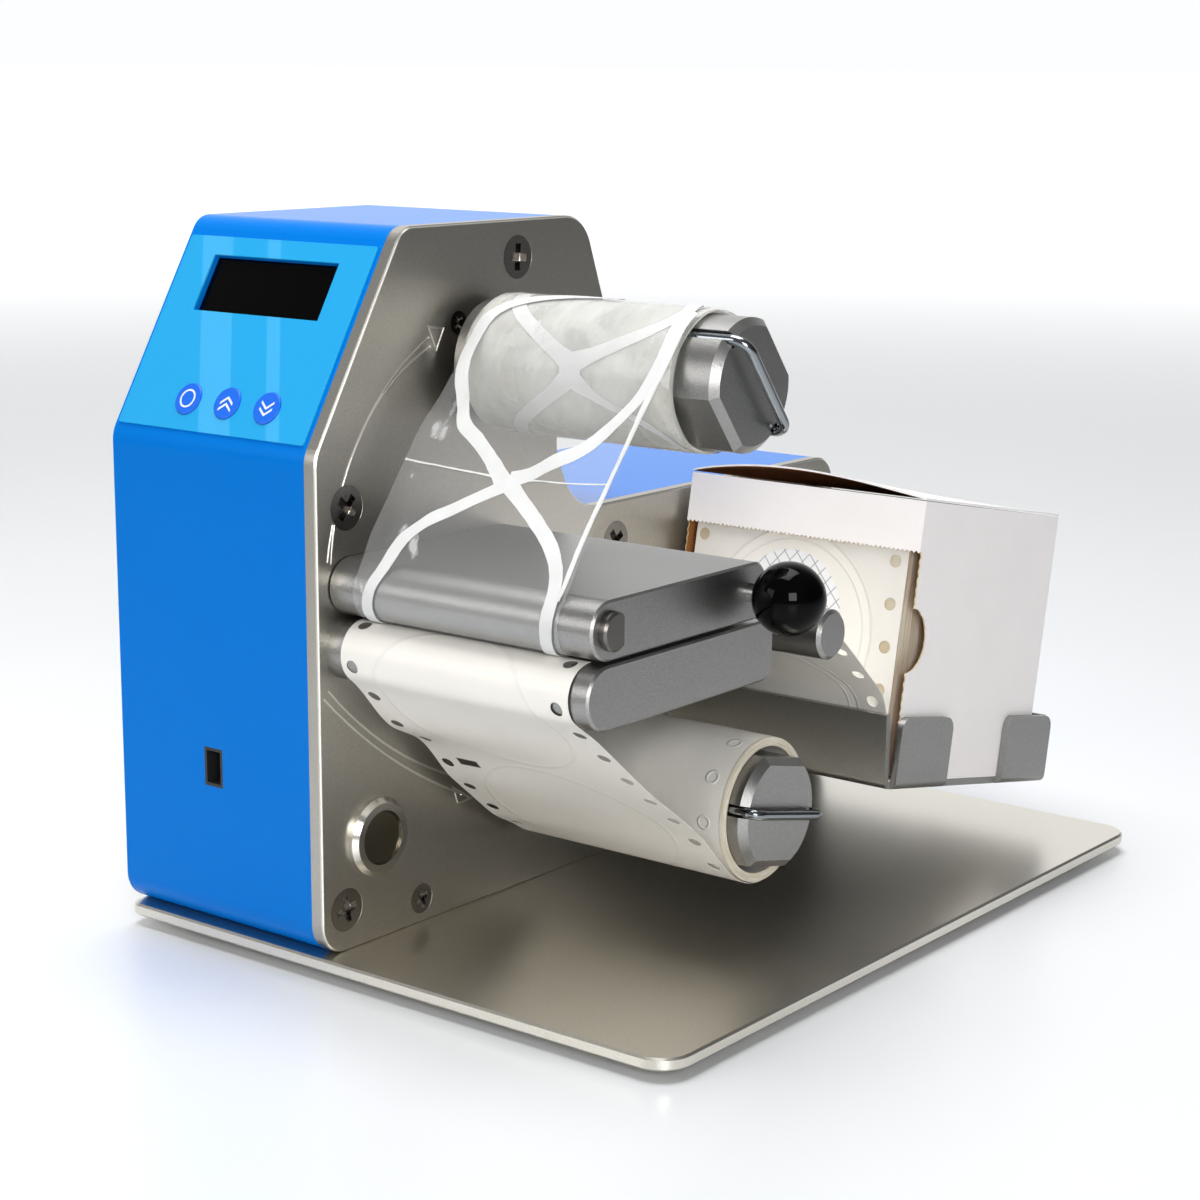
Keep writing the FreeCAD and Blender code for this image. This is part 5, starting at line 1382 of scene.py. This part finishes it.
class REWINDER_OT_carton(bpy.types.Operator):
    """Carton with its front torn out along the perforation, and its bulging lid"""

    bl_idname = "rewinder.carton"
    bl_label = "Carton"

    def execute(self, context):
        colours = context.scene.rewinder_colours
        card = coated_card("coated_card", colours.card)
        inside = kraft("kraft_board", (0.42, 0.17, 0.045, 1.0))
        torn = kraft("torn_board", (0.62, 0.47, 0.24, 1.0))
        left, right, front, rear = 2.3, 85.7, 2.7, 86.0
        low, high, wall = 2.1, 84.5, 0.6
        notch_height, levels = low + 41.6, 48

        nothing_selected()
        bpy.ops.mesh.primitive_cube_add(size=2.0)
        box = named(context.active_object, "torn_carton")
        for vert in box.data.vertices:
            vert.co = ((left, right)[vert.co.x > 0], (front, rear)[vert.co.y > 0],
                       (low, high)[vert.co.z > 0])
        box.data.materials.append(card)
        box.data.materials.append(inside)
        bpy.ops.object.mode_set(mode="EDIT")
        mesh = bmesh.from_edit_mesh(box.data)
        lids = [face for face in mesh.faces if face.normal.z > 0.9]
        bmesh.ops.delete(mesh, geom=lids, context="FACES_ONLY")
        bmesh.update_edit_mesh(box.data)
        bpy.ops.object.mode_set(mode="OBJECT")
        thicken(box, wall, -1.0, 1, 1)

        flap = high - 15.0
        rows = []
        teeth = 112
        heights = [low + wall + 0.02 + (flap - low - wall) * step / levels
                   for step in range(levels + 1)]
        for step in range(teeth + 1):
            x = left - 1.0 + (right - left + 2.0) * step / teeth
            tooth = (0.42 if step % 2 else -0.30) + 0.3 * noise.noise((step * 0.61, 0.0, 0.0))
            row = [Vector((x, front - 2.0, heights[0])), Vector((x, front - 2.0, flap + tooth))]
            for index in range(levels, -1, -1):
                nick = (0.45 if index % 2 else 0.0) + 0.35 * noise.noise((index * 0.73, 5.0, 0.0))
                up = heights[index] if index < levels else flap + tooth
                row.append(Vector((x, front + 0.75 + nick, up)))
            rows.append(row)
        opening = skin("front_opening", rows, closed=True, ends=True)
        opening.data.materials.append(torn)
        cut_with(box, opening)

        nothing_selected()
        bpy.ops.mesh.primitive_cylinder_add(vertices=72, radius=9.6, depth=right - left + 8.0,
                                            location=((left + right) / 2, front, notch_height),
                                            rotation=(0.0, math.pi / 2, 0.0))
        notch = named(context.active_object, "finger_notch")
        bpy.ops.object.transform_apply(location=True, rotation=True)
        for index, vert in enumerate(notch.data.vertices):
            away = Vector((vert.co.y - front, vert.co.z - notch_height))
            ragged = 1.0 + 0.03 * noise.noise((away.x * 1.9, away.y * 1.9, 0.0))
            vert.co.y, vert.co.z = front + away.x * ragged, notch_height + away.y * ragged
        notch.data.materials.append(torn)
        cut_with(box, notch)
        move_points(box, lambda co: tray_point(co.x, co.y, co.z))
        settle(box, "root", None, ("carton",), 20.0)

        rows = []
        span = 40
        for step in range(13):
            part = step / 12
            row = []
            for index in range(span + 1):
                across = index / span
                bulge = 4.15 * math.sin(math.pi * across ** 0.82) * (1.0 - part) ** 1.3
                row.append(Vector((left + (right - left) * across,
                                   front + (rear - front) * part, high + 0.35 + bulge)))
            rows.append(row)
        lid = skin("bulging_lid", rows)
        mesh = lid.data
        if mesh.polygons[0].normal.z < 0:
            mesh.flip_normals()
        mesh.materials.append(card)
        mesh.materials.append(inside)
        thicken(lid, 0.55, 1.0, 1, 0)
        move_points(lid, lambda co: tray_point(co.x, co.y, co.z))
        settle(lid, "carton_lid", None, ("carton_lid",), 30.0)
        return {"FINISHED"}


class REWINDER_OT_key_signs(bpy.types.Operator):
    """White signs printed on the keys: a ring, an up pair and a down pair of chevrons"""

    bl_idname = "rewinder.key_signs"
    bl_label = "Key signs"

    def execute(self, context):
        outward = Vector((0.0, -math.sin(PANEL_SLOPE), math.cos(PANEL_SLOPE)))
        upward = Vector((0.0, math.cos(PANEL_SLOPE), math.sin(PANEL_SLOPE)))
        aside = Vector((1.0, 0.0, 0.0))
        white = moulded("sign_white", (0.72, 0.78, 0.86), 0.4)
        for node, kind in (("key_start", 0), ("key_up", 1), ("key_down", -1)):
            low, high = node_box(node)
            points = [vert.co for vert in frame["nodes"][node].data.vertices]
            face = max(point.dot(outward) for point in points)
            middle = (low + high) / 2
            middle += outward * (face - middle.dot(outward) + 0.00002)

            def on_key(across, up, lift):
                return middle + aside * across * MM + upward * up * MM + outward * lift * MM

            if kind == 0:
                rows = []
                for radius, lift in ((2.75, 0.0), (2.75, 0.05), (2.2, 0.05), (2.2, 0.0)):
                    rows.append([on_key(radius * math.cos(2 * math.pi * step / 48),
                                        radius * math.sin(2 * math.pi * step / 48), lift)
                                 for step in range(48)])
                sign = skin("start_ring", rows + rows[:1], closed=True)
                close_seams(sign)
            else:
                chevrons = []
                for place in (-1.35, 0.55):
                    rows = []
                    for across, up in ((-2.3, -0.9), (0.0, 0.9), (2.3, -0.9)):
                        rise = kind * up + place + 0.15
                        rows.append([on_key(across, rise - 0.38, 0.0),
                                     on_key(across, rise + 0.38, 0.0),
                                     on_key(across, rise + 0.38, 0.05),
                                     on_key(across, rise - 0.38, 0.05)])
                    chevrons.append(skin("chevron", rows, closed=True, ends=True))
                sign = joined(node + "_sign", chevrons)
            settle(sign, node, white, angle=30.0)
        return {"FINISHED"}


OPERATORS = (
    REWINDER_OT_stage,
    REWINDER_OT_metalwork,
    REWINDER_OT_housing,
    REWINDER_OT_knob,
    REWINDER_OT_film_web,
    REWINDER_OT_film_roll,
    REWINDER_OT_liner_web,
    REWINDER_OT_liner_roll,
    REWINDER_OT_labels,
    REWINDER_OT_carton,
    REWINDER_OT_key_signs,
)


class REWINDER_PT_panel(bpy.types.Panel):
    """Lists the pieces that can be made"""

    bl_label = "Label Rewinder"
    bl_idname = "REWINDER_PT_panel"
    bl_space_type = "VIEW_3D"
    bl_region_type = "UI"
    bl_category = "Rewinder"

    def draw(self, context):
        layout = self.layout
        for operator in OPERATORS:
            layout.operator(operator.bl_idname)


CLASSES = (RewinderColours, RewinderStage) + OPERATORS + (REWINDER_PT_panel,)


def register():
    """Registers the classes and their settings."""
    for item in CLASSES:
        bpy.utils.register_class(item)
    bpy.types.Scene.rewinder_colours = PointerProperty(type=RewinderColours)
    bpy.types.Scene.rewinder_stage = PointerProperty(type=RewinderStage)


def unregister():
    """Removes the settings and the classes."""
    del bpy.types.Scene.rewinder_stage
    del bpy.types.Scene.rewinder_colours
    for item in reversed(CLASSES):
        bpy.utils.unregister_class(item)


def main():
    """Makes every piece in order."""
    register()
    for operator in OPERATORS:
        group, action = operator.bl_idname.split(".")
        getattr(getattr(bpy.ops, group), action)()


if __name__ == "__main__":
    main()
